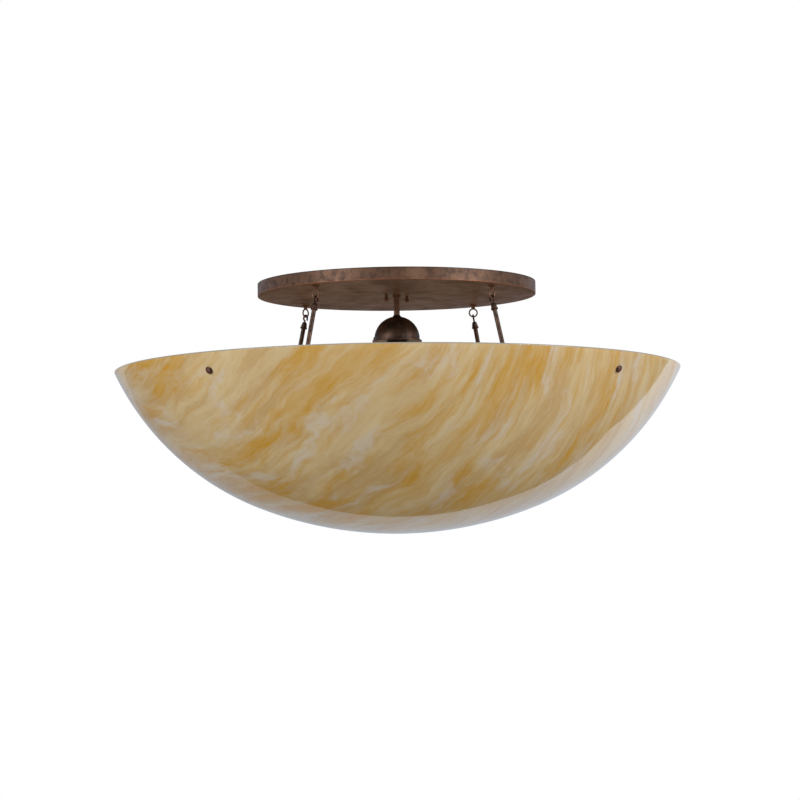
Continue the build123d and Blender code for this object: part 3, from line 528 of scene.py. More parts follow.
def rolled_band(pan):
    """The band's patina, with a rust line low down, painted shade along its upper edge and one
    ground weld.
    """
    brown = three_tones(pan.brown, pan.umber_and_edge_shade, pan.copper)
    made = coated("patina band", brown, Metallic=0.3, Specular_IOR_Level=0.2)
    tree, shader = tree_and_shader(made)
    place = coordinates(tree)

    # The height wavers by up to 4 mm, so that neither line is straight
    low, high = BAND_LOW.z, BAND_HIGH.z
    uneven = noise(tree, place, scale=60.0).outputs["Fac"]
    height = maths(tree, "MULTIPLY_ADD", uneven, 0.004, split(tree, place, "Z"))
    rust = ramped(tree, height, low + 0.0052, low + 0.0026, soft=True)
    # Painted shade: the upper edge, against the plate, is darkened with the umber
    dark = ramped(tree, height, high - 0.0015, high + 0.0012, soft=True)

    # The ground weld fades with the distance from its middle, measured in its own size
    weld_place, weld_size = (0.0147, -0.2996, (low + high) / 2), (0.024, 0.024, 0.02)
    away = vector_maths(tree, "SUBTRACT", place, weld_place)
    away = vector_maths(tree, "DIVIDE", away, weld_size)
    reach = node(tree, "ShaderNodeVectorMath", {0: away}, operation="LENGTH").outputs["Value"]
    patchy = noise(tree, place, scale=90.0, detail=4.0, roughness=0.7).outputs["Fac"]
    weld = ramped(tree, maths(tree, "MULTIPLY_ADD", patchy, 1.8, reach), 2.2, 1.1, soft=True)
    color = laid_over(
        tree,
        shader.inputs["Base Color"].links[0].from_socket,
        (rust, linear(pan.rust), 0.55),
        # painted shade along the upper edge
        (dark, linear(pan.umber_and_edge_shade, 0.6), 0.8),
        (weld, linear(pan.ground_weld), 0.7),
    )
    tree.links.new(color, shader.inputs["Base Color"])
    return made


def weld_bead(fitting):
    """Dark steel bead whose ripples follow each other round the middle."""
    made = coated("weld bead", tones(fitting.iron_light, 0.6, 1.5), Metallic=0.6)
    tree, shader = tree_and_shader(made)
    place = coordinates(tree)
    turn = maths(tree, "ARCTAN2", split(tree, place, "Y"), split(tree, place, "X"))
    ripple = maths(tree, "SINE", maths(tree, "MULTIPLY", turn, WELD_RIPPLES))
    add_relief(tree, shader, ripple, strength=0.9, distance=0.0006)
    return made


# Modelling


def named(piece, name):
    """A piece whose object and mesh have that name."""
    piece.name = name
    piece.data.name = name
    return piece


def begin(name, add, **settings):
    """Adds a primitive with all else deselected, and names it."""
    bpy.ops.object.select_all(action="DESELECT")
    add(**settings)
    return named(bpy.context.object, name)


def only(*pieces):
    """Selects these objects and no others, and makes the first one active."""
    bpy.ops.object.select_all(action="DESELECT")
    for piece in pieces:
        piece.select_set(True)
    bpy.context.view_layer.objects.active = pieces[0]


def pick(piece, kind, wanted):
    """Selects the vertices, edges or faces for which wanted is true, in edit mode."""
    bpy.ops.mesh.select_mode(type=kind)
    bpy.ops.mesh.select_all(action="DESELECT")
    mesh = bmesh.from_edit_mesh(piece.data)
    parts = {"VERT": mesh.verts, "EDGE": mesh.edges, "FACE": mesh.faces}[kind]
    for part in parts:
        if wanted(part):
            part.select_set(True)
    mesh.select_flush_mode()
    bmesh.update_edit_mesh(piece.data)


def draw_profile(name, profile):
    """A piece that is a profile of radius and height, left in edit mode. It starts at the first
    point. Each entry of two numbers runs straight to a point, and each of four is an arc: its turn
    from radius towards height, the radius and height of its centre, and its steps."""
    piece = begin(name, bpy.ops.mesh.primitive_plane_add, size=0.001)
    bpy.ops.object.mode_set(mode="EDIT")
    bpy.ops.mesh.select_mode(type="VERT")
    bpy.ops.mesh.merge(type="CENTER")
    x, z = profile[0]
    bpy.ops.transform.translate(value=(x, 0, z))
    for move in profile[1:]:
        if len(move) == 2:
            way = (move[0] - x, 0, move[1] - z)
            bpy.ops.mesh.extrude_vertices_move(TRANSFORM_OT_translate={"value": way})
            x, z = move
        else:
            turn, middle_x, middle_z, steps = move
            centre = (middle_x, 0, middle_z)
            bpy.ops.mesh.spin(steps=steps, angle=turn, center=centre, axis=(0, 1, 0))
            x, z = x - middle_x, z - middle_z
            x, z = x * cos(turn) - z * sin(turn), x * sin(turn) + z * cos(turn)
            x, z = middle_x + x, middle_z + z
    return piece


def close_up(distance=MERGED):
    """Merges the vertices that fall together and turns the faces outwards."""
    bpy.ops.mesh.select_all(action="SELECT")
    bpy.ops.mesh.remove_doubles(threshold=distance)
    bpy.ops.mesh.normals_make_consistent(inside=False)


def turn_round(steps):
    """Spins the whole profile round the Z axis into a closed shape, with its faces outwards."""
    bpy.ops.mesh.select_all(action="SELECT")
    bpy.ops.mesh.spin(steps=steps, angle=2 * pi, center=(0, 0, 0), axis=(0, 0, 1))
    close_up()


def object_mode(piece, smooth=35):
    """Leaves edit mode and shades the piece smooth up to an angle in degrees."""
    if bpy.context.mode != "OBJECT":
        bpy.ops.object.mode_set(mode="OBJECT")
    only(piece)
    bpy.ops.object.shade_smooth_by_angle(angle=radians(smooth))


def apply_modifier(piece, kind, **settings):
    """Adds a modifier with its settings and applies it."""
    only(piece)
    added = piece.modifiers.new(kind.title(), kind)
    for name, value in settings.items():
        setattr(added, name, value)
    bpy.ops.object.modifier_apply(modifier=added.name)


def soften(piece, width, smooth=35):
    """Rounds the sharp edges of a piece."""
    apply_modifier(
        piece, "BEVEL", width=width, segments=2, limit_method="ANGLE", angle_limit=ROUNDED_TURN,
        use_clamp_overlap=True, miter_outer="MITER_ARC",
    )
    object_mode(piece, smooth)


def turned(name, profile, steps, edge=0):
    """A piece turned from a profile round the Z axis, with its sharp edges rounded."""
    piece = draw_profile(name, profile)
    turn_round(steps)
    object_mode(piece)
    if edge:
        soften(piece, edge)
    return piece


def joined(name, *pieces):
    """Several pieces as one."""
    only(*pieces)
    bpy.ops.object.join()
    return named(bpy.context.object, name)


def duplicated(piece, name):
    """A copy of a piece with its own mesh."""
    only(piece)
    bpy.ops.object.duplicate()
    return named(bpy.context.object, name)


def settle(piece, matrix):
    """Moves a piece's mesh to its place and leaves its object at the origin."""
    piece.matrix_world = matrix
    only(piece)
    bpy.ops.object.transform_apply(location=True, rotation=True, scale=True)
    return piece


def copies(piece, places):
    """One copy of a piece at each place, numbered from 1. The first piece goes."""
    made = []
    for step, matrix in enumerate(places, 1):
        made.append(settle(duplicated(piece, f"{piece.name}_{step}"), matrix))
    bpy.data.objects.remove(piece)
    return made


def upright_along(point, way):
    """A place at a point, whose Z runs along a direction."""
    return Matrix.LocRotScale(Vector(point), Vector(way).to_track_quat("Z", "Y"), None)


def joint_places(kind):
    """The places of the numbered joints of one kind, whose Z runs along each joint's axis."""
    found = [joint for joint in frame["joints"] if joint["name"].startswith(kind)]
    return [upright_along(joint["pos_m"], joint["axis"]) for joint in found]


def copy_to_joints(piece, kind, node_name):
    """Copies a piece to the joints of one kind, to stand for the solids of the same numbers."""
    for step, twin in enumerate(copies(piece, joint_places(kind)), 1):
        stand_for(twin, f"{node_name}_{step}")


def drill(piece, matrix, radius, depth):
    """Cuts a round hole with its middle at a place."""
    bit = begin("bit", bpy.ops.mesh.primitive_cylinder_add, vertices=32, radius=radius, depth=depth)
    settle(bit, matrix)
    apply_modifier(piece, "BOOLEAN", object=bit, operation="DIFFERENCE", solver="EXACT")
    bpy.data.objects.remove(bit)


def second_finish(piece, material, wanted):
    """Gives another material to the faces for which wanted is true."""
    piece.data.materials.append(material)
    for face in piece.data.polygons:
        if wanted(face):
            face.material_index = len(piece.data.materials) - 1


def stand_for(piece, *nodes):
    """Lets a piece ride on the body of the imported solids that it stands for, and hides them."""
    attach(piece, frame["nodes"][nodes[0]]["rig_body"])
    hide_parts(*nodes)


def finished(piece, material, *nodes):
    """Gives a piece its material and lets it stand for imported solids."""
    piece.data.materials.clear()
    piece.data.materials.append(material)
    stand_for(piece, *nodes)


def softened_copy(node_name, material, edge=0.0003, smooth=32):
    """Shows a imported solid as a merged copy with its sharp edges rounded."""
    piece = duplicated(frame["nodes"][node_name], f"{node_name}_finished")
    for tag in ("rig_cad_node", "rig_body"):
        if tag in piece:
            del piece[tag]
    piece.parent = None
    bpy.ops.object.mode_set(mode="EDIT")
    bpy.ops.mesh.select_all(action="SELECT")
    bpy.ops.mesh.remove_doubles(threshold=MERGED)
    bpy.ops.mesh.customdata_custom_splitnormals_clear()
    if edge:
        bpy.ops.mesh.dissolve_limited(angle_limit=FLAT_TURN)
    object_mode(piece, smooth)
    if edge:
        soften(piece, edge, smooth)
    finished(piece, material, node_name)


def dressed(node_name, material):
    """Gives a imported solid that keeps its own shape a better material."""
    mesh = frame["nodes"][node_name].data
    mesh.materials.clear()
    mesh.materials.append(material)


# Operators


class LIGHT_OT_swirled_bowl(bpy.types.Operator):
    """Spin the bowl from its two arcs, thicken it and lay the sheet's swirl over it"""

    bl_idname = "light.swirled_bowl"
    bl_label = "Swirled Bowl"
    bl_options = {"REGISTER", "UNDO"}

    def execute(self, context):
        bowl = context.scene.light_bowl
        low, rim, widest = BOWL_LOW.z, BOWL_HIGH.z, BOWL_HIGH.x
        crown_z = low + bowl.crown_radius
        joint_x = bowl.crown_radius * sin(bowl.crown_angle)
        joint_z = crown_z - bowl.crown_radius * cos(bowl.crown_angle)
        run, rise = widest - joint_x, rim - joint_z
        inwards = rise * cos(bowl.crown_angle) - run * sin(bowl.crown_angle)
        shoulder = (run**2 + rise**2) / (2 * inwards)
        shoulder_x = joint_x - shoulder * sin(bowl.crown_angle)
        shoulder_z = joint_z + shoulder * cos(bowl.crown_angle)
        rim_angle = atan2(widest - shoulder_x, shoulder_z - rim)
        profile = [
            (0, low),
            (bowl.crown_angle, 0, crown_z, 16),
            (rim_angle - bowl.crown_angle, shoulder_x, shoulder_z, 32),
        ]
        piece = draw_profile("swirled_bowl", profile)
        turn_round(WIDE_STEPS)
        bpy.ops.object.mode_set(mode="OBJECT")
        apply_modifier(piece, "SOLIDIFY", thickness=bowl.wall, offset=-1, use_even_offset=True)
        bpy.ops.object.mode_set(mode="EDIT")

        def on_rim(face):
            """Whether a face is of the flat ring at the top."""
            middle = face.calc_center_median()
            outside = middle.z > rim - bowl.wall and hypot(*middle.xy) > widest - 0.02
            return outside and face.normal.z > 0.5

        pick(piece, "FACE", on_rim)
        bpy.ops.mesh.region_to_loop()
        bpy.ops.mesh.bevel(offset=bowl.rim_round, segments=3, affect="EDGES")
        bpy.ops.object.mode_set(mode="OBJECT")
        for matrix in joint_places("knob"):
            drill(piece, matrix, radius=bowl.hole, depth=0.05)

        # The flat sheet of the swirl, laid on from the middle outwards
        sheet = piece.data.uv_layers.active or piece.data.uv_layers.new(name="sheet")
        for loop in piece.data.loops:
            x, y, z = piece.data.vertices[loop.vertex_index].co
            radius = hypot(x, y)
            climb = atan2(radius, crown_z - z)
            reach = bowl.crown_radius * climb
            if climb > bowl.crown_angle:
                climb = atan2(radius - shoulder_x, shoulder_z - z)
                reach = bowl.crown_radius * bowl.crown_angle + shoulder * (climb - bowl.crown_angle)
            turn = atan2(y, x)
            sheet.data[loop.index].uv = (reach * cos(turn), reach * sin(turn))
        object_mode(piece, smooth=40)
        finished(piece, swirled_acrylic(bowl), "shade_bowl")
        return {"FINISHED"}


class LIGHT_OT_ceiling_pan(bpy.types.Operator):
    """Turn the pan's rolled band and its weld bead, and finish the plate"""

    bl_idname = "light.ceiling_pan"
    bl_label = "Ceiling Pan"
    bl_options = {"REGISTER", "UNDO"}

    def execute(self, context):
        pan = context.scene.light_pan
        outside, low, high = BAND_HIGH.x, BAND_LOW.z, BAND_HIGH.z
        inside = outside - pan.wall
        profile = [(inside, low), (outside, low), (outside, high), (inside, high), (inside, low)]
        band = turned("rolled_band", profile, WIDE_STEPS, pan.edge)
        finished(band, rolled_band(pan), "canopy_band")

        profile = [(inside - pan.bead, PLATE_TOP), (pi, inside - 0.2 * pan.bead, PLATE_TOP, 8)]
        bead = turned("weld_bead", profile, WIDE_STEPS)
        bead.data.materials.append(weld_bead(context.scene.light_fitting))
        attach(bead, frame["nodes"]["canopy_band"]["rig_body"])

        # Painted light: the pan's tones made 1.35 to 1.8 times lighter, since the plate faces down
        # and gets little light
        brown_with_painted_light = three_tones(pan.brown, pan.umber_and_edge_shade, pan.copper, levels=(1.65, 1.8, 1.35))
        dressed("canopy_plate", coated("patina plate", brown_with_painted_light, Specular_IOR_Level=0.2))
        return {"FINISHED"}


class LIGHT_OT_hanging_rods(bpy.types.Operator):
    """Turn the bell couplers, and finish the loops, hooks and rods"""

    bl_idname = "light.hanging_rods"
    bl_label = "Hanging Rods"
    bl_options = {"REGISTER", "UNDO"}

    def execute(self, context):
        fitting = context.scene.light_fitting
        iron_tones = three_tones(fitting.iron, fitting.iron_dark, fitting.iron_light)
        iron = coated("forged iron", iron_tones, Metallic=0.6)
        # Rubbed copper, made lighter as painted light on the stem, loops, collars and ball nuts,
        # which lie in shade
        rubbed = coated("rubbed copper", tones(fitting.copper), Metallic=0.3)

        top = -fitting.coupler_drop
        low = top - fitting.coupler_height
        skirt, bead = fitting.coupler_skirt / 2, fitting.coupler_bead / 2
        band = 0.3 * fitting.coupler_height
        bell_drop = fitting.coupler_height - band
        bell_run = skirt - fitting.coupler_top / 2
        bell_radius = (bell_run**2 + bell_drop**2) / (2 * bell_run)
        bell_turn = asin(bell_drop / bell_radius)
        profile = [
            (0, low), (skirt, low), (skirt, low + 0.0002), (bead, low + band / 3),
            (bead, low + 2 * band / 3), (skirt, low + band),
            (bell_turn, skirt - bell_radius, low + band, 8), (0, top),
        ]
        coupler = turned("bell_coupler", profile, steps=40, edge=0.0004)
        places = []
        for step in range(4):
            turn = fitting.hanger_start + step * pi / 2
            out = Vector((cos(turn), sin(turn), 0))
            up = Vector((0, 0, 1)) * cos(fitting.lean) - out * sin(fitting.lean)
            loop_foot = out * fitting.hanger_radius - Vector((0, 0, fitting.loop_foot))
            places.append(upright_along(loop_foot, up))
        finished(joined("bell_couplers", *copies(coupler, places)), iron, "rod_couplers")

        softened_copy("hanging_loops", rubbed, edge=0, smooth=50)
        softened_copy("rod_hooks", iron, edge=0, smooth=50)
        for name in ("loop_collars", "ball_nut_left", "ball_nut_right"):
            softened_copy(name, rubbed, edge=0.0005)
        softened_copy("rod_jam_nuts", iron, edge=0.0005)
        for step in range(1, 5):
            softened_copy(f"rod_{step}", iron, edge=0.0006)
        return {"FINISHED"}


class LIGHT_OT_knobs(bpy.types.Operator):
    """Turn one knob with a ringed rim and a button with a painted highlight, and copy it to the
    bowl's four holes
    """

    bl_idname = "light.knobs"
    bl_label = "Knobs"
    bl_options = {"REGISTER", "UNDO"}

    def execute(self, context):
        fitting = context.scene.light_fitting
        rim, button, stud = fitting.knob / 2, fitting.knob_button / 2, fitting.knob_stud / 2

        # Stud, rim, a groove round the middle, and the rounded middle
        foot, top, stud_end = 0.0003, fitting.knob_height, -fitting.knob_reach
        chamfer, rim_edge, groove = 0.0004, 0.0008, 0.0005
        shoulder = foot + 0.6 * (top - foot)
        sag = top - shoulder
        crown = (button**2 + sag**2) / (2 * sag)
        profile = [
            (0, stud_end), (stud - chamfer, stud_end), (stud, stud_end + chamfer), (stud, foot),
            (rim - 0.0003, foot), (rim, foot + chamfer),
            (rim, shoulder - rim_edge), (rim - rim_edge, shoulder),
            (button + 0.0006, shoulder), (button + 0.0002, shoulder - groove), (button, shoulder),
            (asin(button / crown), 0, top - crown, 8),
        ]
        knob = turned("turned_knob", profile, steps=48, edge=0.0002)

        def on_button(face):
            """Whether a face is of the rounded middle."""
            return face.center.z > shoulder and hypot(*face.center.xy) < button

        iron_tones = three_tones(fitting.iron, fitting.iron_dark, fitting.iron_light)
        knob.data.materials.append(coated("knob rim", iron_tones, Metallic=0.6))
        # Painted highlight: the rounded middle is lighter and pinker than the rim
        rubbed = coated("knob button", tones(fitting.button, 0.65, 1.3), Metallic=0.3)
        second_finish(knob, rubbed, on_button)
        copy_to_joints(knob, "knob", "knob")
        return {"FINISHED"}


class LIGHT_OT_domed_cluster(bpy.types.Operator):
    """Turn the dome and its washer, knurl the thumbscrews, and finish the stem and the cluster"""

    bl_idname = "light.domed_cluster"
    bl_label = "Domed Cluster"
    bl_options = {"REGISTER", "UNDO"}

    def execute(self, context):
        dome = context.scene.light_dome
        bronze_tones = three_tones(dome.bronze, dome.bronze_dark, dome.bronze_light)
        bronze = coated("dark bronze", bronze_tones, Metallic=0.5, Specular_IOR_Level=0.3)
        radius, low = DOME_HIGH.x, DOME_LOW.z
        middle = low + dome.skirt
        hole = STEM_RADIUS + dome.hole_gap
        inner = radius - dome.wall
        profile = [
            (radius, low), (radius, middle), (acos(hole / radius), 0, middle, 24),
            (hole, middle + sqrt(inner**2 - hole**2)), (-acos(hole / inner), 0, middle, 24),
            (inner, low), (radius, low),
        ]
        hood = turned("dome", profile, steps=128, edge=dome.edge)
        for matrix in joint_places("dome_thumbscrew"):
            drill(hood, matrix, radius=dome.screw_hole, depth=0.01)
        object_mode(hood)
        finished(hood, bronze, "socket_dome")

        low, high = WASHER_LOW.z, WASHER_HIGH.z
        foot, cap = WASHER_HIGH.x, 0.0075
        profile = [
            (STEM_RADIUS, low), (foot, low), (foot, low + 0.0008), (cap, high - 0.0006),
            (cap, high), (STEM_RADIUS, high), (STEM_RADIUS, low),
        ]
        finished(turned("dome_seat", profile, steps=64, edge=dome.edge), bronze, "dome_washer")

        head, screw = dome.head / 2, dome.screw / 2
        top, screw_end = dome.head_height, -dome.screw_reach
        chamfer, screw_chamfer, dish = 0.0008, 0.0005, 0.0004
        profile = [
            (0, screw_end), (screw - screw_chamfer, screw_end), (screw, screw_end + screw_chamfer),
            (screw, 0), (head - chamfer, 0), (head, chamfer), (head, top - chamfer),
            (head - chamfer, top), (0.55 * head, top), (0.45 * head, top - dish), (0, top - dish),
        ]
        thumbscrew = draw_profile("knurled_dome_thumbscrew", profile)
        turn_round(GRIP_STEPS)

        def on_grip(face):
            """Whether a face is one of every second on the head's side."""
            centre = face.calc_center_median()
            step = int((atan2(centre.y, centre.x) + pi) / (2 * pi) * GRIP_STEPS)
            on_side = 0.001 < centre.z < top - 0.001 and hypot(*centre.xy) > 0.9 * head
            return on_side and step % 2 == 0

        pick(thumbscrew, "FACE", on_grip)
        bpy.ops.mesh.inset(thickness=0.00008, depth=-0.0003, use_individual=True)
        object_mode(thumbscrew, smooth=25)
        thumbscrew.data.materials.append(bronze)
        copy_to_joints(thumbscrew, "dome_thumbscrew", "dome_thumbscrew")

        # Rubbed copper with painted light, lighter for the shaded stem and collar
        rubbed = bpy.data.materials["rubbed copper"]
        softened_copy("stem_tube", rubbed, edge=0.0004)
        softened_copy("stem_collar", rubbed, edge=0.0006)
        softened_copy("cluster_plate", bronze, edge=0.0005)
        softened_copy("cluster_body", bronze, edge=0.0005)
        softened_copy("cluster_finial", bronze, edge=0.0004)
        return {"FINISHED"}


class LIGHT_OT_lamps(bpy.types.Operator):
    """Turn a lampholder and a frosted lamp with a threaded cap, and copy them to the four axes"""

    bl_idname = "light.lamps"
    bl_label = "Lamps"
    bl_options = {"REGISTER", "UNDO"}

    def execute(self, context):
        lamp = context.scene.light_lamp

        # Lampholder: neck, barrel with a thinner lip, and the bore down to its floor
        foot = lamp.holder_foot
        shoulder = foot + lamp.holder_neck
        mouth = shoulder + lamp.holder_barrel
        floor = shoulder + lamp.holder_floor
        neck, barrel = lamp.holder_neck_diameter / 2, lamp.holder_diameter / 2
        bore, lip = barrel - lamp.holder_wall, barrel - 0.0008
        profile = [
            (0, foot), (neck, foot), (neck, foot + lamp.holder_neck / 2), (barrel, shoulder),
            (barrel, mouth - 0.004), (lip, mouth - 0.0036), (lip, mouth),
            (bore, mouth), (bore, floor), (0, floor),
        ]
        holder = turned("porcelain_holder", profile, steps=72, edge=0.0009)
        glaze = coated("glazed porcelain", tones(lamp.porcelain, 0.94, 1.0), Coat_Weight=0.4)
        holder.data.materials.append(glaze)
        copy_to_joints(holder, "lamp", "lampholder")

        # Cap: contact, black glass round it, and the shell up to its wider mouth
        tip, crest = lamp.tip_diameter / 2, lamp.cap_diameter / 2
        root = crest - lamp.thread_depth
        low, base = lamp.cap_start, lamp.cap_start + lamp.tip_height
        cap_top = base + lamp.cap_height
        profile = [
            (0, low), (0.6 * tip, low), (tip, base - 0.0012), (tip, base),
            (0.72 * crest, base + 0.0012), (root - 0.0006, base + 0.0036),
            (root - 0.0004, cap_top - 0.0052), (crest, cap_top - 0.0042), (crest, cap_top),
            (0, cap_top),
        ]
        core = turned("cap_core", profile, steps=56, edge=0.0003)

        def on_black_glass(face):
            """Whether a face lies between the contact and the shell."""
            return base < face.center.z < base + 0.0034 and hypot(*face.center.xy) > tip

        nickel = coated("nickel cap", tones(lamp.nickel), Metallic=1.0)
        core.data.materials.append(nickel)
        second_finish(core, coated("black glass", tones(lamp.insulator)), on_black_glass)

        # One wave of the thread, as shares of its depth at each eighth of its pitch
        wave = (1, 0.85, 0.5, 0.15, 0, 0.15, 0.5, 0.85, 1)
        profile = [
            (root + part * lamp.thread_depth, base + 0.003 + step * lamp.pitch / 8)
            for step, part in enumerate(wave)
        ]
        thread = draw_profile("cap_thread", profile)
        bpy.ops.object.mode_set(mode="OBJECT")
        apply_modifier(
            thread, "SCREW", axis="Z", angle=2 * pi, screw_offset=lamp.pitch, iterations=3,
            steps=48, render_steps=48, use_merge_vertices=True, merge_threshold=2 * MERGED,
        )
        bpy.ops.object.mode_set(mode="EDIT")
        close_up(2 * MERGED)
        bpy.ops.object.mode_set(mode="OBJECT")
        apply_modifier(thread, "SOLIDIFY", thickness=0.0003, offset=-1)
        object_mode(thread, smooth=60)
        thread.data.materials.append(nickel)
        copy_to_joints(joined("threaded_cap", core, thread), "lamp", "bulb_base")

        # Glass: straight neck, hollow flare and round globe, each meeting the next without a corner
        foot = cap_top + 0.0001
        neck, globe = lamp.neck_diameter / 2, lamp.glass_diameter / 2
        neck_top = cap_top + lamp.neck_height
        middle = cap_top + lamp.glass_height - globe
        rise = middle - neck_top
        flare = (rise**2 + neck**2 - globe**2) / (2 * (globe - neck))
        swing = atan2(rise, neck + flare)
        profile = [
            (0, foot), (neck, foot), (neck, neck_top),
            (-swing, neck + flare, neck_top, 12), (pi / 2 + swing, 0, middle, 36),
        ]
        glass = turned("lamp_glass", profile, steps=96)
        object_mode(glass, smooth=60)
        frosted = coated("frosted glass", tones(lamp.frosted, 0.97, 1.0), Coat_Weight=0.3)
        glass.data.materials.append(frosted)
        copy_to_joints(glass, "lamp", "bulb_glass")

        brass = coated("brass shell", tones(lamp.brass), Metallic=1.0)
        softened_copy("lampholder_shells", brass, edge=0.0001)
        return {"FINISHED"}


class LIGHT_OT_hidden_frame(bpy.types.Operator):
    """Finish the strap, bars, studs, nuts, bent arms and grommets that the pan and the bowl hide"""

    bl_idname = "light.hidden_frame"
    bl_label = "Hidden Frame"
    bl_options = {"REGISTER", "UNDO"}

    def execute(self, context):
        pan, fitting = context.scene.light_pan, context.scene.light_fitting
        brown = three_tones(pan.brown, pan.umber_and_edge_shade, pan.copper)
        finishes = {
            "frame_metal": coated("frame brown", brown, Metallic=0.15),
            "rod_metal": bpy.data.materials["forged iron"],
            "zinc_steel": coated("zinc plate", tones(fitting.zinc, 0.6, 1.1), Metallic=1.0),
            "ground_green": coated("green paint", tones(fitting.ground), Coat_Weight=0.5),
            "grommet_rubber": coated("grommet rubber", tones(fitting.rubber)),
        }
        stood_for = {name for name, solid in frame["nodes"].items() if solid.hide_render}
        for name, slot_name in SLOTS.items():
            if name not in stood_for and slot_name in finishes:
                softened_copy(name, finishes[slot_name])
        return {"FINISHED"}


def pale_floor(stage):
    """Pale paint that is darker in reflections and clear from below."""
    made = new_material("pale floor", Roughness=0.6)
    tree, shader = tree_and_shader(made)
    glossy = node(tree, "ShaderNodeLightPath").outputs["Is Glossy Ray"]
    tint = blended(tree, glossy, linear(stage.floor), linear(stage.floor_gloss))
    tree.links.new(tint, shader.inputs["Base Color"])
    under = node(tree, "ShaderNodeNewGeometry").outputs["Backfacing"]
    clear = node(tree, "ShaderNodeBsdfTransparent").outputs[0]
    surface = mixed(tree, under, shader.outputs[0], clear)
    tree.links.new(surface, tree.nodes["Material Output"].inputs["Surface"])
    return made


def reflected_glow(stage):
    """A glow that only reflections show, stronger at the backdrop's right end."""
    made = bpy.data.materials.new("reflected_backdrop")
    made.use_nodes = True
    tree = made.node_tree
    tree.nodes.clear()
    glossy = node(tree, "ShaderNodeLightPath").outputs["Is Glossy Ray"]
    across = split(tree, coordinates(tree), "X")
    ends = BACKDROP_CORNERS[0][0], BACKDROP_CORNERS[1][0]
    strength = ramped(tree, across, *ends, stage.backdrop, stage.backdrop_right)
    sockets = {"Color": linear(stage.daylight), "Strength": strength}
    glow = node(tree, "ShaderNodeEmission", sockets).outputs[0]
    clear = node(tree, "ShaderNodeBsdfTransparent").outputs[0]
    node(tree, "ShaderNodeOutputMaterial", {"Surface": mixed(tree, glossy, clear, glow)})
    return made


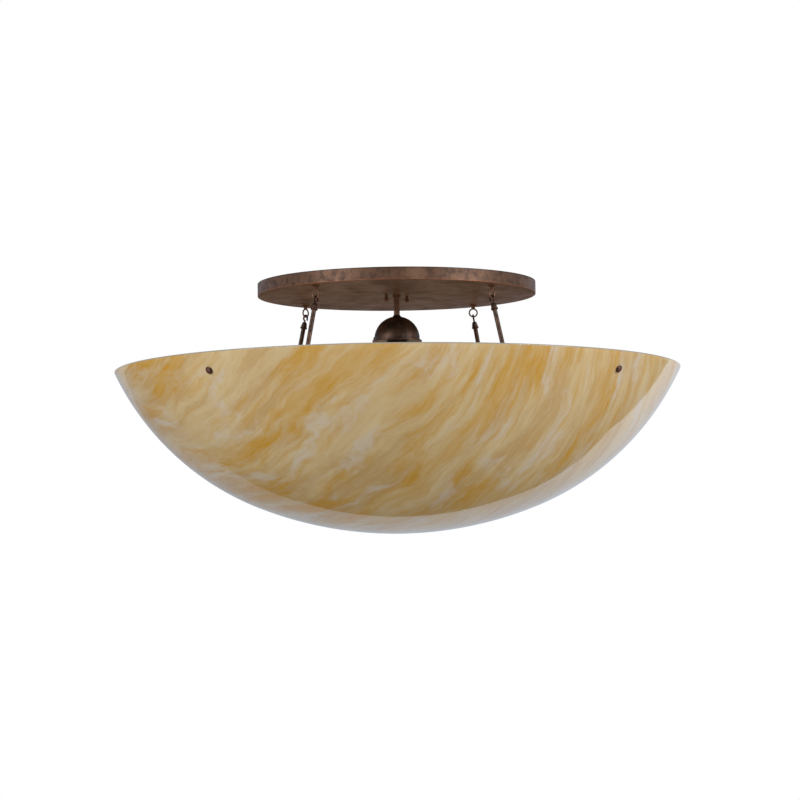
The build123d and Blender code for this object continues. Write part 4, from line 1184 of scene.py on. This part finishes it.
class LIGHT_OT_stage(bpy.types.Operator):
    """Set up the floor, the reflected backdrop, the even light, the two lamps and the camera"""

    bl_idname = "light.stage"
    bl_label = "Stage"
    bl_options = {"REGISTER", "UNDO"}

    def execute(self, context):
        scene = context.scene
        stage = scene.light_stage
        scene.view_settings.view_transform = "Standard"

        floor = begin(
            "floor", bpy.ops.mesh.primitive_circle_add, vertices=96, radius=20, fill_type="NGON",
            location=(0, 0, -stage.floor_drop),
        )
        floor.data.materials.append(pale_floor(stage))

        backdrop = begin("reflected_backdrop", bpy.ops.mesh.primitive_plane_add, size=1)
        for vertex, corner in zip(backdrop.data.vertices, BACKDROP_CORNERS):
            vertex.co = corner
        backdrop.data.materials.append(reflected_glow(stage))

        world = bpy.data.worlds.new("studio")
        world.use_nodes = True
        scene.world = world
        tree = world.node_tree
        tree.nodes.clear()
        path = node(tree, "ShaderNodeLightPath").outputs
        seen = maths(tree, "MAXIMUM", path["Is Camera Ray"], path["Is Transmission Ray"])
        room = ramped(tree, path["Is Glossy Ray"], 0.0, 1.0, stage.sky, stage.sky_gloss)
        strength = ramped(tree, seen, 0.0, 1.0, room, 1.0)
        tint = blended(tree, path["Is Glossy Ray"], (1, 1, 1, 1), linear(stage.daylight))
        back = node(tree, "ShaderNodeBackground", {"Color": tint, "Strength": strength})
        node(tree, "ShaderNodeOutputWorld", {"Surface": back.outputs[0]})

        aside, forward, up = SOFTBOX_PLACE
        for side, name, power in ((-1, "left_lamp", stage.left), (1, "right_lamp", stage.right)):
            lamp = bpy.data.lights.new(name, "AREA")
            lamp.shape = "RECTANGLE"
            lamp.size, lamp.size_y = SOFTBOX_SIZE
            lamp.energy = power
            softbox = bpy.data.objects.new(name, lamp)
            scene.collection.objects.link(softbox)
            softbox.location = (side * aside, forward, up)
            way = Vector(SOFTBOX_AIM) - softbox.location
            softbox.rotation_euler = way.to_track_quat("-Z", "Y").to_euler()
            softbox.visible_camera = False

        camera = bpy.data.cameras.new("photo_camera")
        camera.lens = stage.lens
        camera.shift_x = stage.shift
        view = bpy.data.objects.new("photo_camera", camera)
        scene.collection.objects.link(view)
        scene.camera = view
        across, along = sin(stage.bearing), cos(stage.bearing)
        view.location = (-stage.distance * across, -stage.distance * along, -stage.drop)
        level = cos(stage.pitch)
        ahead = Vector((across * level, along * level, sin(stage.pitch)))
        view.rotation_mode = "QUATERNION"
        lean = Quaternion((0, 0, 1), -stage.roll)
        view.rotation_quaternion = ahead.to_track_quat("-Z", "Y") @ lean
        return {"FINISHED"}


class LIGHT_PT_panel(bpy.types.Panel):
    """Lists the light's settings and the steps that build it"""

    bl_idname = "LIGHT_PT_panel"
    bl_label = "Ceiling Light"
    bl_space_type = "VIEW_3D"
    bl_region_type = "UI"
    bl_category = "Ceiling Light"

    def draw(self, context):
        layout = self.layout
        for setting_name in SETTINGS:
            settings = getattr(context.scene, setting_name)
            box = layout.box()
            for name in settings.__annotations__:
                box.prop(settings, name)
        for operator in OPERATORS:
            layout.operator(operator.bl_idname)


SETTINGS = {
    "light_bowl": BowlSettings,
    "light_pan": PanSettings,
    "light_fitting": FittingSettings,
    "light_dome": DomeSettings,
    "light_lamp": LampSettings,
    "light_stage": StageSettings,
}
OPERATORS = [
    LIGHT_OT_stage,
    LIGHT_OT_swirled_bowl,
    LIGHT_OT_ceiling_pan,
    LIGHT_OT_hanging_rods,
    LIGHT_OT_knobs,
    LIGHT_OT_domed_cluster,
    LIGHT_OT_lamps,
    LIGHT_OT_hidden_frame,
]


def register():
    """Registers the settings, the operators and the panel."""
    for each in (*SETTINGS.values(), *OPERATORS, LIGHT_PT_panel):
        bpy.utils.register_class(each)
    for name, group_class in SETTINGS.items():
        setattr(bpy.types.Scene, name, bpy.props.PointerProperty(type=group_class))


def unregister():
    """Takes them out again."""
    for name in SETTINGS:
        delattr(bpy.types.Scene, name)
    for each in (LIGHT_PT_panel, *reversed(OPERATORS), *reversed(SETTINGS.values())):
        bpy.utils.unregister_class(each)


def main():
    """Builds the whole light and its stage."""
    register()
    bpy.ops.light.stage()
    bpy.ops.light.swirled_bowl()
    bpy.ops.light.ceiling_pan()
    bpy.ops.light.hanging_rods()
    bpy.ops.light.knobs()
    bpy.ops.light.domed_cluster()
    bpy.ops.light.lamps()
    bpy.ops.light.hidden_frame()
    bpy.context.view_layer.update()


if __name__ == "__main__":
    main()
